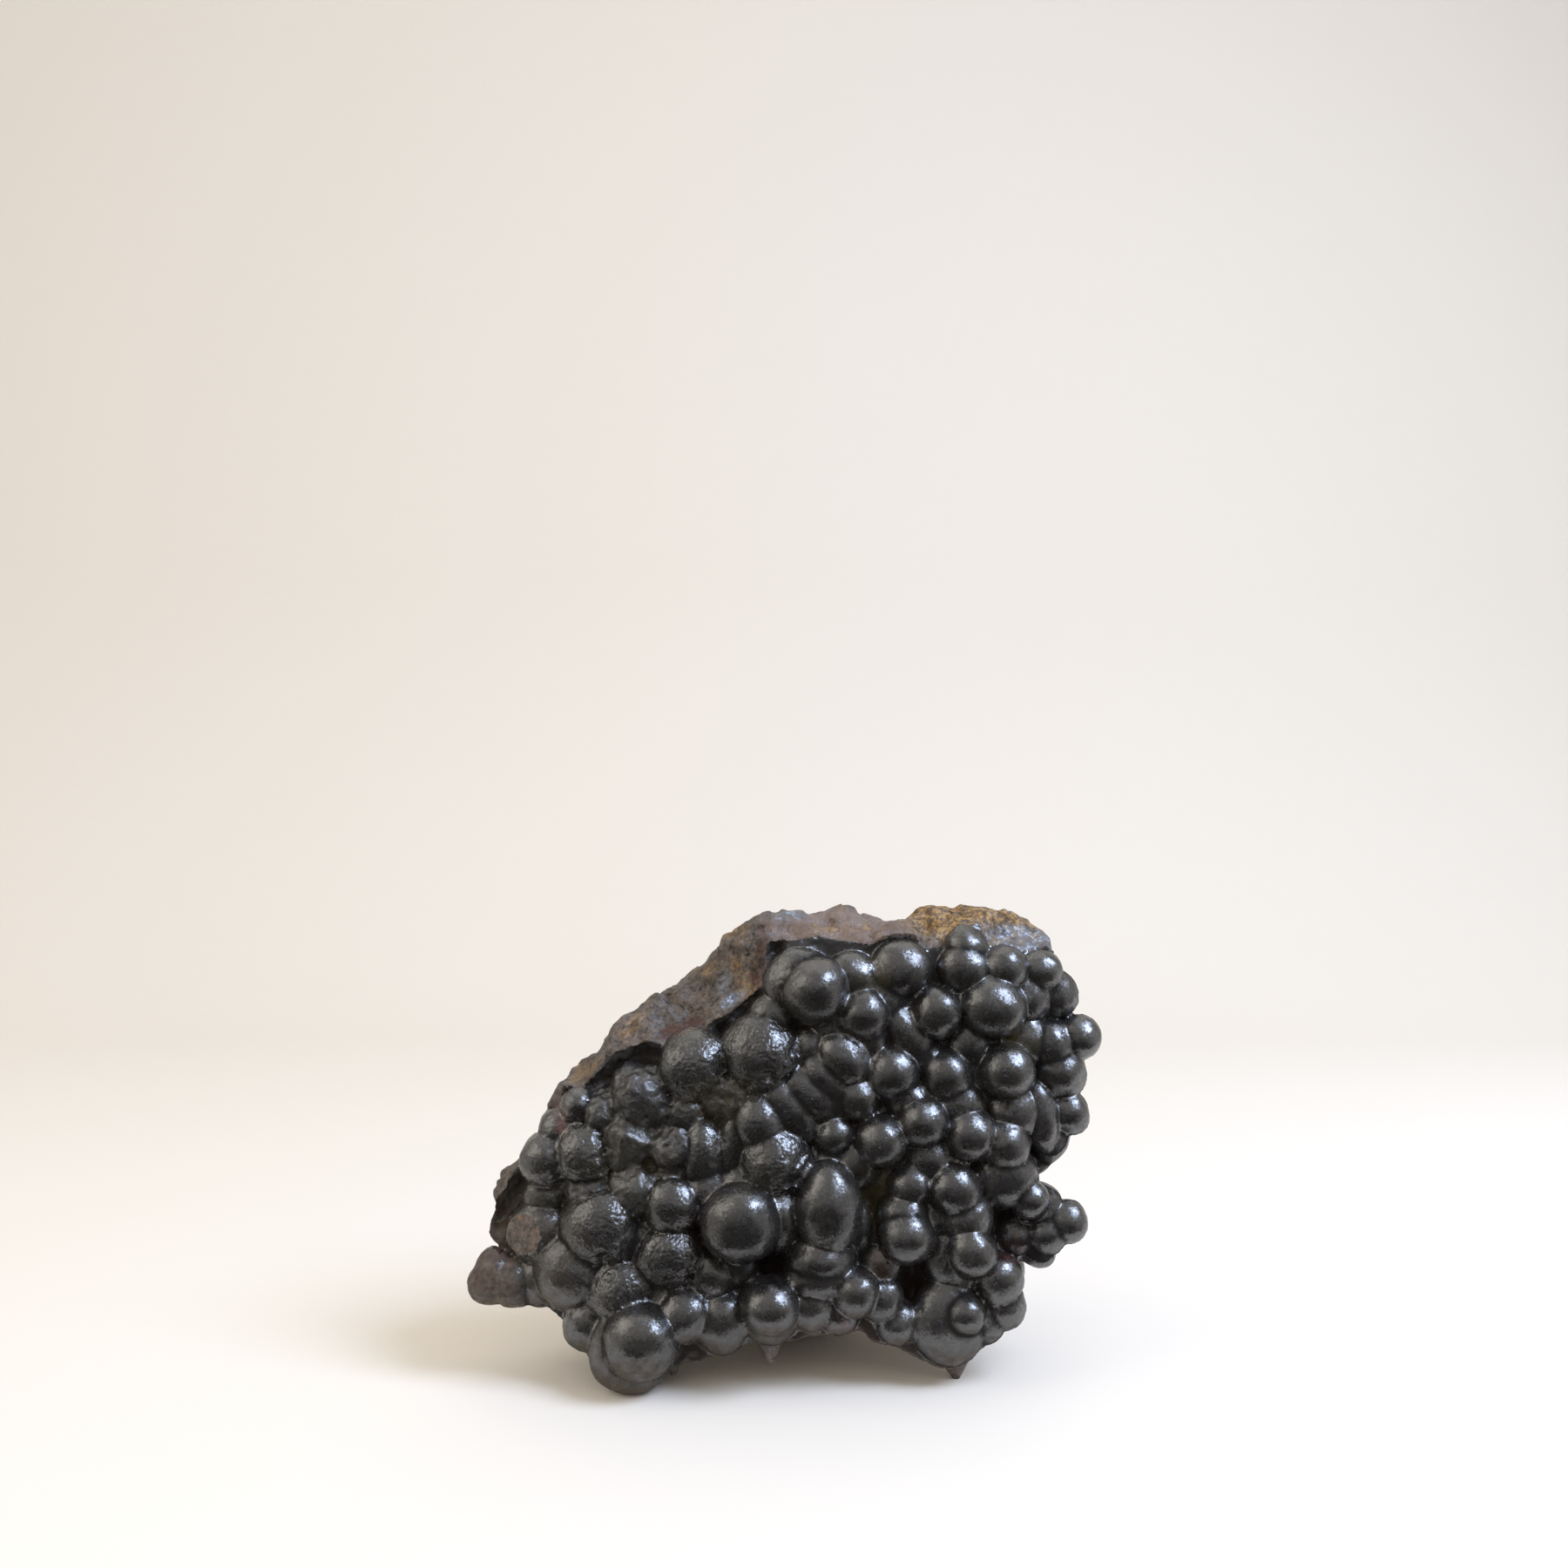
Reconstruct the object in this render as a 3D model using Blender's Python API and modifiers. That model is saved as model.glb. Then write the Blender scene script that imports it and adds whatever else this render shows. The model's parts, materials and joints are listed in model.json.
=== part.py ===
"""Botryoidal hematite: a broken hand specimen of kidney ore standing on two front feet and a heel.

Metres, +Z up. The crust of rounded lumps faces -Y, the broken back faces +Y, and the origin is
on the surface it stands on, under the middle of the specimen. Sizes in the lists are millimetres.
"""

import math

import bmesh
import bpy
import numpy as np
from mathutils import Matrix, Vector, noise

MM = 0.001

# Driving dimensions, in millimetres
VIEW_DISTANCE = 200.0  # places are read from this far in front of the left foot
EYE_HEIGHT = 77.8  # and from this far above the surface it stands on
CRUST_DEPTH = -1.0  # where the crust's mean face starts, behind the left foot
CRUST_LEAN = 0.12  # how much the crust leans back for each millimetre up
CRUST_BULGE = 0.0035  # how much it curves back towards both sides
GROUND_BEHIND = 0.7  # the body's face lies this far behind the middles of the lumps
GROOVE = {"inside": 1.9, "half_width": 1.2, "depth": 2.4}  # under the overhanging rim, upper left
BREAK_SLOPE = 0.95  # how steeply the broken rim runs back from the crust's edge
RIM_THICKNESS = 3.0  # the body at its thinnest, along the rim
RIM_UNEVENNESS = {"height": 0.9, "spacing": 3.125, "full": 1.5}  # full this far from the crust's edge
BACK_TAPER = 0.26  # how much the body narrows by the time it is this deep
TAPER_DEPTH = 30.0
BODY_MIDDLE = (2.0, 31.0)  # across and up: what the body narrows towards
BACK_UNEVENNESS = {"height": 1.3, "spacing": 6.25}
WALL_UNEVENNESS = {"height": 1.4, "spacing": 7.7, "start": 0.3, "full": 0.7}  # shares of the way back
WALL_DRAW = 1795601741  # the seed of the walls' pattern, which is drawn at random
LUMP_ROOT = 1.9  # a lump's hidden half is this many times as deep as its shown half
SIDE_ROOT = 1.15  # and on the fingers and round the sides, where that half shows too
FRONT_SWELL = 1.12  # lumps that stand forward are this much wider than they look
FILLING_SWELL = 1.26  # and the ones between them, which their neighbours overlap, this much
FILLING_SINK = 0.7  # those lie back this share of the way that their smaller size makes it look
PIT_DEPTH = 0.2  # share of a pitted lump's radius that its pits take away
PIT_SPACING = 2.4  # millimetres from pit to pit
POINT_BLUNTNESS = 0.3
HEEL = {"across": 1.5, "depth": 27.0, "half_width": 13.0, "start": 9.0, "full": 20.0, "top": 27.0}
HEEL_FADE = 13.0  # the heel bulges out over this height under its top
HEEL_ROUND = 0.035  # how fast the heel's underside curves up from its lowest point
HEEL_LOW = -0.8  # its lowest point before it is levelled off
CUTTER_SIZE = (200.0, 200.0, 40.0)

# Mesh fineness
SLAB_DEPTH = 20.0  # the outline is filled this thick before its faces are moved to their depths
SLAB_VOXEL = 1.3
FUSE_VOXEL = 0.45
KEPT_SHARE = 0.05  # share of the fused mesh's faces that is kept
BALL_FACES = (24, 16)  # round a lump, and from pole to pole
POINT_FACES = 14

HEMATITE_GREY = (0.045, 0.046, 0.048, 1.0)

# The body's outline from the front, (across, up), clockwise from the apex
OUTLINE = (
    (-2.2, 62.3), (0.6, 61.9), (2.2, 61.2), (5.0, 60.8), (6.7, 61.1), (10.2, 60.4), (13.9, 59.9),
    (16.7, 60.4), (17.8, 62.0), (19.4, 62.4), (23.3, 62.4), (28.3, 61.6), (31.1, 60.2), (33.9, 58.3),
    (34.9, 55.0), (35.6, 50.0), (34.6, 44.4), (33.4, 37.8), (31.6, 32.2), (30.4, 28.6), (28.9, 22.2),
    (29.6, 17.8), (30.6, 13.3), (30.2, 11.0), (26.2, 6.4), (24.0, 4.6), (22.3, 3.4), (20.0, 3.9),
    (17.8, 4.0), (14.4, 5.9), (11.1, 6.6), (10.2, 8.0), (7.3, 7.5), (4.4, 7.7), (0.6, 6.4),
    (-3.6, 6.4), (-7.2, 5.7), (-11.1, 3.8), (-13.3, 3.5), (-16.5, 2.0), (-18.6, 0.6), (-22.0, 0.3),
    (-23.4, 1.4), (-25.2, 4.8), (-27.8, 7.4), (-28.0, 9.0), (-30.0, 11.0), (-34.2, 11.4),
    (-34.9, 17.8), (-37.0, 19.6), (-37.6, 21.3), (-36.9, 23.6), (-37.2, 25.3), (-35.5, 29.2),
    (-33.0, 31.1), (-31.1, 34.8), (-28.9, 38.7), (-27.2, 40.9), (-24.1, 42.6), (-22.8, 44.1),
    (-22.1, 46.2), (-19.2, 48.9), (-15.0, 51.4), (-13.3, 52.2), (-9.2, 56.0), (-6.7, 58.1),
    (-3.8, 60.2),
)

# Where the crust ends along the upper left and the top, and the broken rim starts
CRUST_EDGE = (
    (-37.0, 24.0), (-33.0, 30.5), (-28.9, 34.4), (-27.8, 38.0), (-24.7, 40.0), (-21.7, 43.6),
    (-17.2, 45.0), (-14.4, 44.1), (-9.4, 47.2), (-5.6, 49.4), (-2.5, 52.2), (-2.1, 57.6), (5.0, 58.3),
    (11.1, 57.1), (13.3, 58.0), (18.3, 56.8), (20.2, 57.2), (22.2, 60.0), (25.0, 60.0), (26.0, 57.3),
    (30.6, 56.5), (36.0, 56.5),
)

# The broken back, as planes: depth behind the left foot at (0, 0), gain across, gain up
BACK_PLANES = (
    (39.5, 0.02, -0.30),
    (33.5, 0.46, -0.06),
    (41.5, -0.52, -0.05),
    (31.0, -0.10, 0.62),
    (46.0, 0.22, -0.50),
)

# Narrow dark gaps in the crust: across, up, half width, half height, extra depth
GAPS = (
    (-2.4, 16.4, 3.0, 1.6, 3.0),
    (16.2, 13.4, 1.8, 4.6, 3.4),
    (10.6, 25.2, 1.8, 3.2, 2.2),
    (28.4, 22.8, 3.0, 5.2, 3.6),
    (-31.4, 25.0, 2.6, 2.2, 1.6),
    (12.0, 52.6, 2.6, 1.6, 1.6),
)


def lump(across, up, sink, radius, tall=1.0, lean=0.0, root=LUMP_ROOT, pitted=False):
    """One rounded lump: its place, how far its middle lies behind the mean face, and its half width.

    tall is its half height over its half width, and lean turns its long axis towards +X, in degrees.
    A lump that is pressed between others is made wider, with its front where it was.
    """
    swell = 1.0
    if root == LUMP_ROOT:
        swell = FILLING_SWELL if sink > 0 else FRONT_SWELL
        sink = FILLING_SINK * sink if sink > 0 else sink
    shape = {"across": across, "up": up, "sink": sink + radius * (swell - 1.0), "radius": radius * swell}
    return shape | {"tall": tall, "lean": lean, "root": root, "pitted": pitted, "flat": 1.0}


def side_lump(across, up, sink, radius, tall=1.0, lean=0.0):
    """A lump whose far side shows as well."""
    return lump(across, up, sink, radius, tall, lean, SIDE_ROOT)


def pitted_lump(across, up, sink, radius, tall=1.0, lean=0.0):
    """A lump with a pitted skin, as on the left of the crust."""
    return lump(across, up, sink, radius, tall, lean, LUMP_ROOT, True)


def collar(across, up, sink, radius, flat, tall=1.0):
    """A shallow lump that shows as a ring round the one before it. flat is its depth over its half width."""
    return lump(across, up, sink, radius, tall, 0.0, SIDE_ROOT) | {"flat": flat}


TOP_LUMPS = (
    lump(4.0, 51.4, -0.8, 3.9),
    collar(2.0, 52.2, 1.6, 4.8, 0.75),
    lump(8.6, 53.0, 1.6, 2.9),
    lump(10.0, 48.3, -0.3, 3.1),
    lump(10.7, 45.2, 0.7, 2.0, 1.4),
    lump(15.8, 45.9, 0.4, 2.1, 1.75, -32),
    lump(19.3, 48.6, -0.4, 3.1),
    lump(14.7, 54.0, 1.2, 3.3),
    lump(26.4, 49.3, -0.6, 4.0, 0.92),
    lump(22.8, 54.2, 0.2, 2.7),
    lump(23.1, 56.9, 1.3, 2.4),
    lump(28.0, 54.2, 0.0, 2.8),
    lump(32.6, 53.9, 0.5, 2.3),
    lump(-1.6, 47.8, 2.2, 2.8),
    lump(6.4, 47.2, 1.6, 2.8),
    lump(12.9, 50.4, 2.0, 2.8),
    lump(22.6, 50.4, 2.4, 2.6),
    lump(30.6, 50.6, 1.8, 2.8),
    lump(10.6, 55.4, 4.4, 2.0),
)

RIGHT_LUMPS = (
    side_lump(34.4, 51.0, 2.2, 3.2),
    side_lump(37.5, 45.5, 1.0, 2.9),
    side_lump(33.9, 44.6, 1.4, 3.2),
    side_lump(34.7, 41.2, 2.2, 3.8),
    side_lump(36.2, 35.8, 1.6, 2.8),
    side_lump(34.0, 32.2, 2.6, 2.2, 1.4, 35),
    side_lump(32.4, 30.0, 3.4, 1.5, 1.5, 45),
    side_lump(31.1, 24.7, 0.6, 2.7),
    side_lump(32.5, 24.0, 2.4, 2.9),
    side_lump(36.1, 21.9, 1.2, 2.8),
    side_lump(33.4, 20.6, 2.0, 2.8),
    side_lump(32.2, 18.4, 3.0, 2.4),
    side_lump(29.6, 20.6, 4.6, 3.6),
)

CENTRE_RIGHT_LUMPS = (
    lump(28.4, 41.2, -1.1, 3.3),
    collar(26.7, 41.1, 1.3, 4.3, 0.7),
    lump(20.6, 40.6, 0.1, 2.8),
    lump(17.6, 34.7, -0.4, 3.1),
    lump(15.9, 37.4, 1.0, 2.4),
    lump(23.6, 33.0, -0.5, 3.1),
    lump(28.1, 31.8, -0.3, 3.0),
    lump(28.9, 36.1, 1.2, 2.9),
    lump(32.6, 35.4, 0.8, 2.0, 1.9, -8),
    lump(27.8, 28.0, 2.0, 3.6),
    lump(13.6, 40.9, 0.1, 3.0),
    lump(9.4, 37.8, 0.4, 2.4),
    lump(12.4, 32.2, -0.2, 3.1),
    lump(6.3, 33.1, 0.6, 2.1),
    lump(23.4, 44.6, 1.6, 2.6),
    lump(22.0, 37.0, 1.4, 3.0),
    lump(18.2, 30.0, 2.0, 3.0),
    lump(30.8, 45.0, 2.4, 2.8),
    lump(17.6, 42.8, 1.8, 2.4),
    lump(9.2, 29.6, 2.6, 2.8),
    lump(5.6, 30.2, 2.8, 2.2),
)

# A row of ribs from the lower left to the upper right
RIDGE_LUMPS = (
    lump(0.8, 36.3, 0.3, 2.5, 1.6, -40),
    lump(3.4, 38.2, 0.1, 2.3, 1.6, -42),
    lump(5.2, 40.4, 0.0, 2.3, 1.55, -44),
    lump(7.6, 42.8, -0.2, 2.9, 1.25, -46),
    lump(3.6, 44.0, 1.8, 2.6),
    lump(6.4, 37.4, 1.8, 2.4),
)

CENTRE_LEFT_LUMPS = (
    pitted_lump(-11.1, 41.6, 1.7, 4.1),
    pitted_lump(-2.8, 43.4, 1.1, 4.4),
    pitted_lump(-17.8, 37.6, 1.4, 3.8),
    pitted_lump(-13.9, 31.4, 0.8, 2.9),
    lump(-10.2, 30.4, 0.8, 2.6, 1.5),
    lump(-6.2, 31.9, 0.4, 1.9, 2.5, 8),
    lump(-3.0, 34.6, 0.3, 3.1, 1.15, -20),
    pitted_lump(-1.1, 29.8, 0.8, 4.1),
    lump(-26.2, 36.7, 0.8, 2.0),
    pitted_lump(-25.0, 30.6, 0.9, 3.6),
    lump(-30.0, 29.8, 0.6, 3.0),
    pitted_lump(-19.8, 32.2, 1.0, 3.4),
    pitted_lump(-24.4, 26.4, 1.6, 3.2),
    pitted_lump(-18.6, 25.8, 0.9, 3.3),
    pitted_lump(-7.0, 38.2, 1.8, 3.4),
    lump(-12.8, 35.8, 2.4, 3.0),
    pitted_lump(-22.4, 35.6, 2.0, 3.0),
    lump(-5.6, 26.8, 1.4, 2.8),
    pitted_lump(-13.8, 28.0, 1.8, 2.6),
    lump(-28.4, 33.6, 1.8, 2.4),
)

LOWER_LEFT_LUMPS = (
    pitted_lump(-22.9, 21.3, 0.1, 4.5),
    collar(-23.8, 19.6, 0.6, 5.0, 0.72),
    lump(-26.7, 16.1, 0.6, 4.2),
    lump(-14.2, 24.0, -0.4, 3.4),
    pitted_lump(-14.4, 17.9, 0.6, 4.2, 0.85),
    lump(-5.5, 21.9, -1.4, 4.7),
    lump(-0.9, 22.4, 0.4, 2.6, 1.4),
    pitted_lump(-20.4, 13.4, 0.8, 4.1),
    lump(-12.7, 10.2, -0.4, 3.3),
    lump(-24.6, 9.0, 0.6, 2.9),
    lump(-18.2, 6.8, -2.6, 4.3),
    collar(-19.6, 5.6, -0.9, 5.5, 0.6),
    lump(-9.4, 15.3, 0.7, 2.6),
    lump(-30.6, 20.6, 2.0, 3.6),
    lump(-31.0, 14.8, 2.0, 2.8),
    lump(-8.0, 9.4, 1.2, 3.2),
    lump(-9.4, 26.2, 1.6, 3.0),
    lump(-30.2, 25.4, 2.2, 2.4),
    lump(-19.0, 20.0, 1.6, 3.2),
    lump(-6.0, 16.8, 2.6, 2.6),
    lump(-16.0, 12.4, 1.8, 3.0),
)

LOWER_RIGHT_LUMPS = (
    lump(5.6, 23.6, -1.1, 3.8, 1.42),
    lump(4.6, 17.4, 0.2, 3.7, 0.75),
    lump(4.2, 15.2, 0.7, 3.7, 0.65),
    lump(9.4, 20.6, 2.0, 1.4, 2.4),
    lump(-1.7, 11.2, -1.6, 3.3),
    collar(-1.9, 10.6, 0.9, 4.2, 0.7),
    lump(3.3, 11.6, 0.6, 2.7),
    lump(9.1, 13.0, -0.4, 2.9),
    lump(12.4, 12.2, 0.7, 2.4),
    lump(15.6, 20.0, -0.6, 3.2),
    lump(15.3, 22.6, 0.8, 2.8),
    lump(16.1, 26.7, 0.6, 2.4),
    lump(21.6, 26.1, -0.4, 3.2),
    lump(23.0, 22.6, 0.3, 3.0),
    lump(23.8, 18.1, -1.2, 2.9),
    collar(21.9, 17.4, 1.4, 4.3, 0.75, 1.1),
    lump(27.4, 14.4, -0.1, 2.9),
    lump(27.9, 11.4, 1.0, 2.4),
    lump(22.8, 10.2, -0.5, 2.5),
    collar(20.8, 9.2, 1.4, 5.0, 0.65, 1.15),
    lump(24.9, 9.6, 2.4, 2.6),
    lump(7.0, 10.5, 1.4, 2.2),
    lump(14.2, 9.4, 2.2, 2.4),
    lump(18.8, 22.6, 2.4, 2.6),
    lump(12.0, 16.6, 2.8, 2.6),
)

# The crust carries on round the sides, out of sight from the front
SIDE_LUMPS = (
    side_lump(32.0, 48.4, 8.0, 3.6),
    side_lump(31.6, 41.6, 8.6, 4.2),
    side_lump(30.4, 35.0, 8.2, 3.6),
    side_lump(26.8, 16.0, 7.6, 3.8),
    side_lump(30.6, 54.2, 7.2, 3.2),
    side_lump(26.2, 28.2, 10.4, 3.8),
    side_lump(-29.2, 15.6, 6.6, 4.0),
    side_lump(-23.6, 8.8, 6.4, 3.8),
    side_lump(-32.6, 22.0, 5.4, 3.0),
)

# The nub at the far left: a short stub, rusty on top
NUB_LUMPS = (
    side_lump(-37.2, 14.9, 0.0, 2.9, 1.25, 8),
    side_lump(-34.4, 14.2, 0.6, 2.9, 1.1),
)

CRUST_LUMPS = (
    TOP_LUMPS + RIGHT_LUMPS + CENTRE_RIGHT_LUMPS + RIDGE_LUMPS + CENTRE_LEFT_LUMPS
    + LOWER_LEFT_LUMPS + LOWER_RIGHT_LUMPS + SIDE_LUMPS + NUB_LUMPS
)

# Pointed growths: the middle of the wide end and the point, as across, up and depth
POINTS = {
    "right foot": {"wide": (21.6, 6.6, 6.2), "tip": (21.9, 1.8, 5.4), "radius": 3.4},
    "tooth under the low middle lump": {"wide": (-1.7, 8.0, 3.2), "tip": (-1.7, 3.9, 2.6), "radius": 2.5},
    "spur beside the left foot": {"wide": (-14.4, 6.6, 4.2), "tip": (-14.0, 2.4, 3.4), "radius": 1.9},
    "horn at the centre right": {"wide": (20.9, 41.2, 8.0), "tip": (22.7, 44.2, 7.4), "radius": 2.0},
    "point over the centre cone": {"wide": (12.4, 32.6, 5.8), "tip": (12.2, 36.8, 6.2), "radius": 2.6},
    "point over the low cone": {"wide": (9.1, 13.6, 3.8), "tip": (9.8, 17.9, 4.2), "radius": 2.4},
}


def mean_face(across, up):
    """Depth of the crust's mean face behind the left foot, in millimetres."""
    return CRUST_DEPTH + CRUST_LEAN * up + CRUST_BULGE * across * across


def placed(across, up, depth):
    """The real point, in metres, that is seen at (across, up) and lies this deep."""
    spread = 1.0 + depth / VIEW_DISTANCE
    return Vector((across * spread, depth, EYE_HEIGHT + (up - EYE_HEIGHT) * spread)) * MM


def past_crust_edge(across, up):
    """How far a place lies outside the crust's edge, or inside it where negative."""
    place = Vector((across, up))
    nearest = min(
        (place - near_on_line(place, Vector(start), Vector(end))).length
        for start, end in zip(CRUST_EDGE, CRUST_EDGE[1:])
    )
    edge_across, edge_up = zip(*CRUST_EDGE)
    outside = up > float(np.interp(across, edge_across, edge_up))
    return nearest if outside else -nearest


def near_on_line(place, start, end):
    """The point of the line from start to end that is nearest to the place."""
    along = end - start
    share = (place - start).dot(along) / along.length_squared
    return start + along * min(max(share, 0.0), 1.0)


def front_depth(across, up):
    """Depth of the body's face: ground between the lumps, its dark gaps, and the broken rim."""
    depth = mean_face(across, up) + GROUND_BEHIND
    for gap_across, gap_up, half_width, half_height, extra in GAPS:
        away = ((across - gap_across) / half_width) ** 2 + ((up - gap_up) / half_height) ** 2
        depth += extra * math.exp(-away)
    past = past_crust_edge(across, up)
    if past < 0 and across < 0:
        # The rim overhangs a groove along the upper left
        depth += GROOVE["depth"] * math.exp(-(((past + GROOVE["inside"]) / GROOVE["half_width"]) ** 2))
    if past > 0:
        uneven = RIM_UNEVENNESS["height"] * swell_at(across, up, 0.0, RIM_UNEVENNESS["spacing"])
        depth += BREAK_SLOPE * past + uneven * min(past, RIM_UNEVENNESS["full"])
    return depth


def swell_at(across, up, layer, spacing):
    """Smooth unevenness from -1 to 1, with this spacing from swell to swell."""
    return noise.noise(Vector((across, up, layer)) / spacing)


def back_depth(across, up):
    """Depth of the broken back: the nearest of its fracture planes, slightly uneven."""
    nearest = min(at_zero + by_across * across + by_up * up for at_zero, by_across, by_up in BACK_PLANES)
    return nearest + BACK_UNEVENNESS["height"] * swell_at(across, up, 7.0, BACK_UNEVENNESS["spacing"])


def smooth_step(value, start, full):
    """0 before start, 1 past full, and an even curve between them."""
    share = min(max((value - start) / (full - start), 0.0), 1.0)
    return share * share * (3.0 - 2.0 * share)


def lowered_to_heel(point):
    """The point, in millimetres, moved down where the broken underside bulges into the heel."""
    across = point.x - HEEL["across"]
    reach = math.exp(-((across / HEEL["half_width"]) ** 4))
    reach *= smooth_step(point.y, HEEL["start"], HEEL["full"])
    reach *= 1.0 - smooth_step(point.z, HEEL["top"] - HEEL_FADE, HEEL["top"])
    lowest = HEEL_LOW + HEEL_ROUND * (across**2 + (point.y - HEEL["depth"]) ** 2)
    return Vector((point.x, point.y, point.z - reach * max(point.z - lowest, 0.0)))


def body_point(across, up, share):
    """A point of the body: share runs from 0 on its front face to 1 on its back."""
    front = front_depth(across, up)
    back = max(back_depth(across, up), front + RIM_THICKNESS)
    point = placed(across, up, front)
    behind = share * (back - front)
    pull = BACK_TAPER * (behind / TAPER_DEPTH) ** 1.5
    middle = Vector((BODY_MIDDLE[0], front, BODY_MIDDLE[1])) * MM
    point = point.lerp(middle, pull) / MM
    point.y = front + behind
    wander = noise.noise_vector(point / WALL_UNEVENNESS["spacing"]) * WALL_UNEVENNESS["height"]
    point += wander * smooth_step(share, WALL_UNEVENNESS["start"], WALL_UNEVENNESS["full"])
    return lowered_to_heel(point) * MM


def filled_outline():
    """The outline as a flat slab: a filled curve with thickness."""
    curve = bpy.data.curves.new("outline", "CURVE")
    curve.dimensions = "2D"
    curve.fill_mode = "BOTH"
    curve.extrude = SLAB_DEPTH / 2 * MM
    spline = curve.splines.new("POLY")
    spline.points.add(len(OUTLINE) - 1)
    for point, (across, up) in zip(spline.points, OUTLINE):
        point.co = (across * MM, up * MM, 0.0, 1.0)
    spline.use_cyclic_u = True
    return bpy.data.objects.new("outline", curve)


def evaluated_mesh(obj):
    """The object's mesh with its modifiers applied. The object itself is removed."""
    bpy.context.scene.collection.objects.link(obj)
    bpy.context.view_layer.update()
    mesh = bpy.data.meshes.new_from_object(obj.evaluated_get(bpy.context.evaluated_depsgraph_get()))
    bpy.data.objects.remove(obj)
    return mesh


def body_mesh():
    """The broken body behind the crust: the slab in small faces, each moved to its real depth."""
    slab = evaluated_mesh(filled_outline())
    shell = bmesh.new()
    shell.from_mesh(slab)
    bmesh.ops.remove_doubles(shell, verts=shell.verts, dist=0.00001)
    shell.to_mesh(slab)
    shell.free()
    fine = bpy.data.objects.new("slab", slab)
    remesh = fine.modifiers.new("Even faces", "REMESH")
    remesh.mode = "VOXEL"
    remesh.voxel_size = SLAB_VOXEL * MM
    mesh = evaluated_mesh(fine)
    for vertex in mesh.vertices:
        across, up, layer = vertex.co / MM
        share = min(max(0.5 + layer / (SLAB_DEPTH - SLAB_VOXEL), 0.0), 1.0)
        vertex.co = body_point(across, up, share)
    return mesh


def add_lump(shell, shape):
    """A sphere with its hidden half drawn out into a root, and pits in its skin where it has them."""
    ball = bmesh.new()
    bmesh.ops.create_uvsphere(ball, u_segments=BALL_FACES[0], v_segments=BALL_FACES[1], radius=1.0)
    depth = mean_face(shape["across"], shape["up"]) + shape["sink"]
    spread = (1.0 + depth / VIEW_DISTANCE) * MM
    half_width = shape["radius"] * spread
    for vertex in ball.verts:
        if shape["pitted"]:
            at = vertex.co * shape["radius"] + Vector((shape["across"], 0.0, shape["up"]))
            vertex.co *= 1.0 - PIT_DEPTH * max(noise.noise(at * 2.0 / PIT_SPACING), 0.0)
        vertex.co.y *= shape["root"] if vertex.co.y > 0 else shape["flat"]
    size = Matrix.Diagonal((half_width, half_width, half_width * shape["tall"], 1.0))
    turn = Matrix.Rotation(math.radians(shape["lean"]), 4, "Y")
    place = Matrix.Translation(placed(shape["across"], shape["up"], depth))
    ball.transform(place @ turn @ size)
    mesh = bpy.data.meshes.new("lump")
    ball.to_mesh(mesh)
    ball.free()
    shell.from_mesh(mesh)
    bpy.data.meshes.remove(mesh)


def add_point(shell, shape):
    """A cone from its wide end to its point, which is slightly blunt."""
    wide = placed(*shape["wide"])
    tip = placed(*shape["tip"])
    along = tip - wide
    turn = along.to_track_quat("Z", "Y").to_matrix().to_4x4()
    bmesh.ops.create_cone(
        shell,
        cap_ends=True,
        segments=POINT_FACES,
        radius1=shape["radius"] * MM,
        radius2=POINT_BLUNTNESS * MM,
        depth=along.length,
        matrix=Matrix.Translation((wide + tip) / 2) @ turn,
    )


def principled(name, colour, roughness, metallic):
    material = bpy.data.materials.new(name)
    material.use_nodes = True
    shader = material.node_tree.nodes["Principled BSDF"]
    shader.inputs["Base Color"].default_value = colour
    shader.inputs["Roughness"].default_value = roughness
    shader.inputs["Metallic"].default_value = metallic
    return material


def floor_cutter(collection):
    """Everything below the surface it stands on, so that each foot ends in a small flat."""
    mesh = bpy.data.meshes.new("floor_cutter")
    shell = bmesh.new()
    size = Vector(CUTTER_SIZE) * MM
    bmesh.ops.create_cube(shell, size=1.0, matrix=Matrix.Diagonal((*size, 1.0)))
    bmesh.ops.translate(shell, verts=shell.verts, vec=(0.0, 0.0, -size.z / 2))
    shell.to_mesh(mesh)
    shell.free()
    cutter = bpy.data.objects.new("floor_cutter", mesh)
    cutter.hide_render = True
    cutter.display_type = "WIRE"
    collection.objects.link(cutter)
    return cutter


def hematite(collection, cutter):
    """The whole specimen, fused into one solid."""
    mesh = body_mesh()
    mesh.name = "hematite"
    shell = bmesh.new()
    shell.from_mesh(mesh)
    for shape in CRUST_LUMPS:
        add_lump(shell, shape)
    for shape in POINTS.values():
        add_point(shell, shape)
    shell.to_mesh(mesh)
    shell.free()
    mesh.materials.clear()
    mesh.materials.append(principled("Botryoidal hematite", HEMATITE_GREY, 0.36, 0.35))
    specimen = bpy.data.objects.new("hematite", mesh)
    collection.objects.link(specimen)
    fuse = specimen.modifiers.new("Fuse the lumps", "REMESH")
    fuse.mode = "VOXEL"
    fuse.voxel_size = FUSE_VOXEL * MM
    thin = specimen.modifiers.new("Fewer faces", "DECIMATE")
    thin.ratio = KEPT_SHARE
    level = specimen.modifiers.new("Level feet", "BOOLEAN")
    level.operation = "DIFFERENCE"
    level.solver = "EXACT"
    level.object = cutter
    # Its place is above the middle of the surface that it covers
    bpy.context.view_layer.update()
    corners = specimen.evaluated_get(bpy.context.evaluated_depsgraph_get()).bound_box
    for axis in (0, 1):
        reach = [corner[axis] for corner in corners]
        specimen.location[axis] = -(min(reach) + max(reach)) / 2


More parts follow.
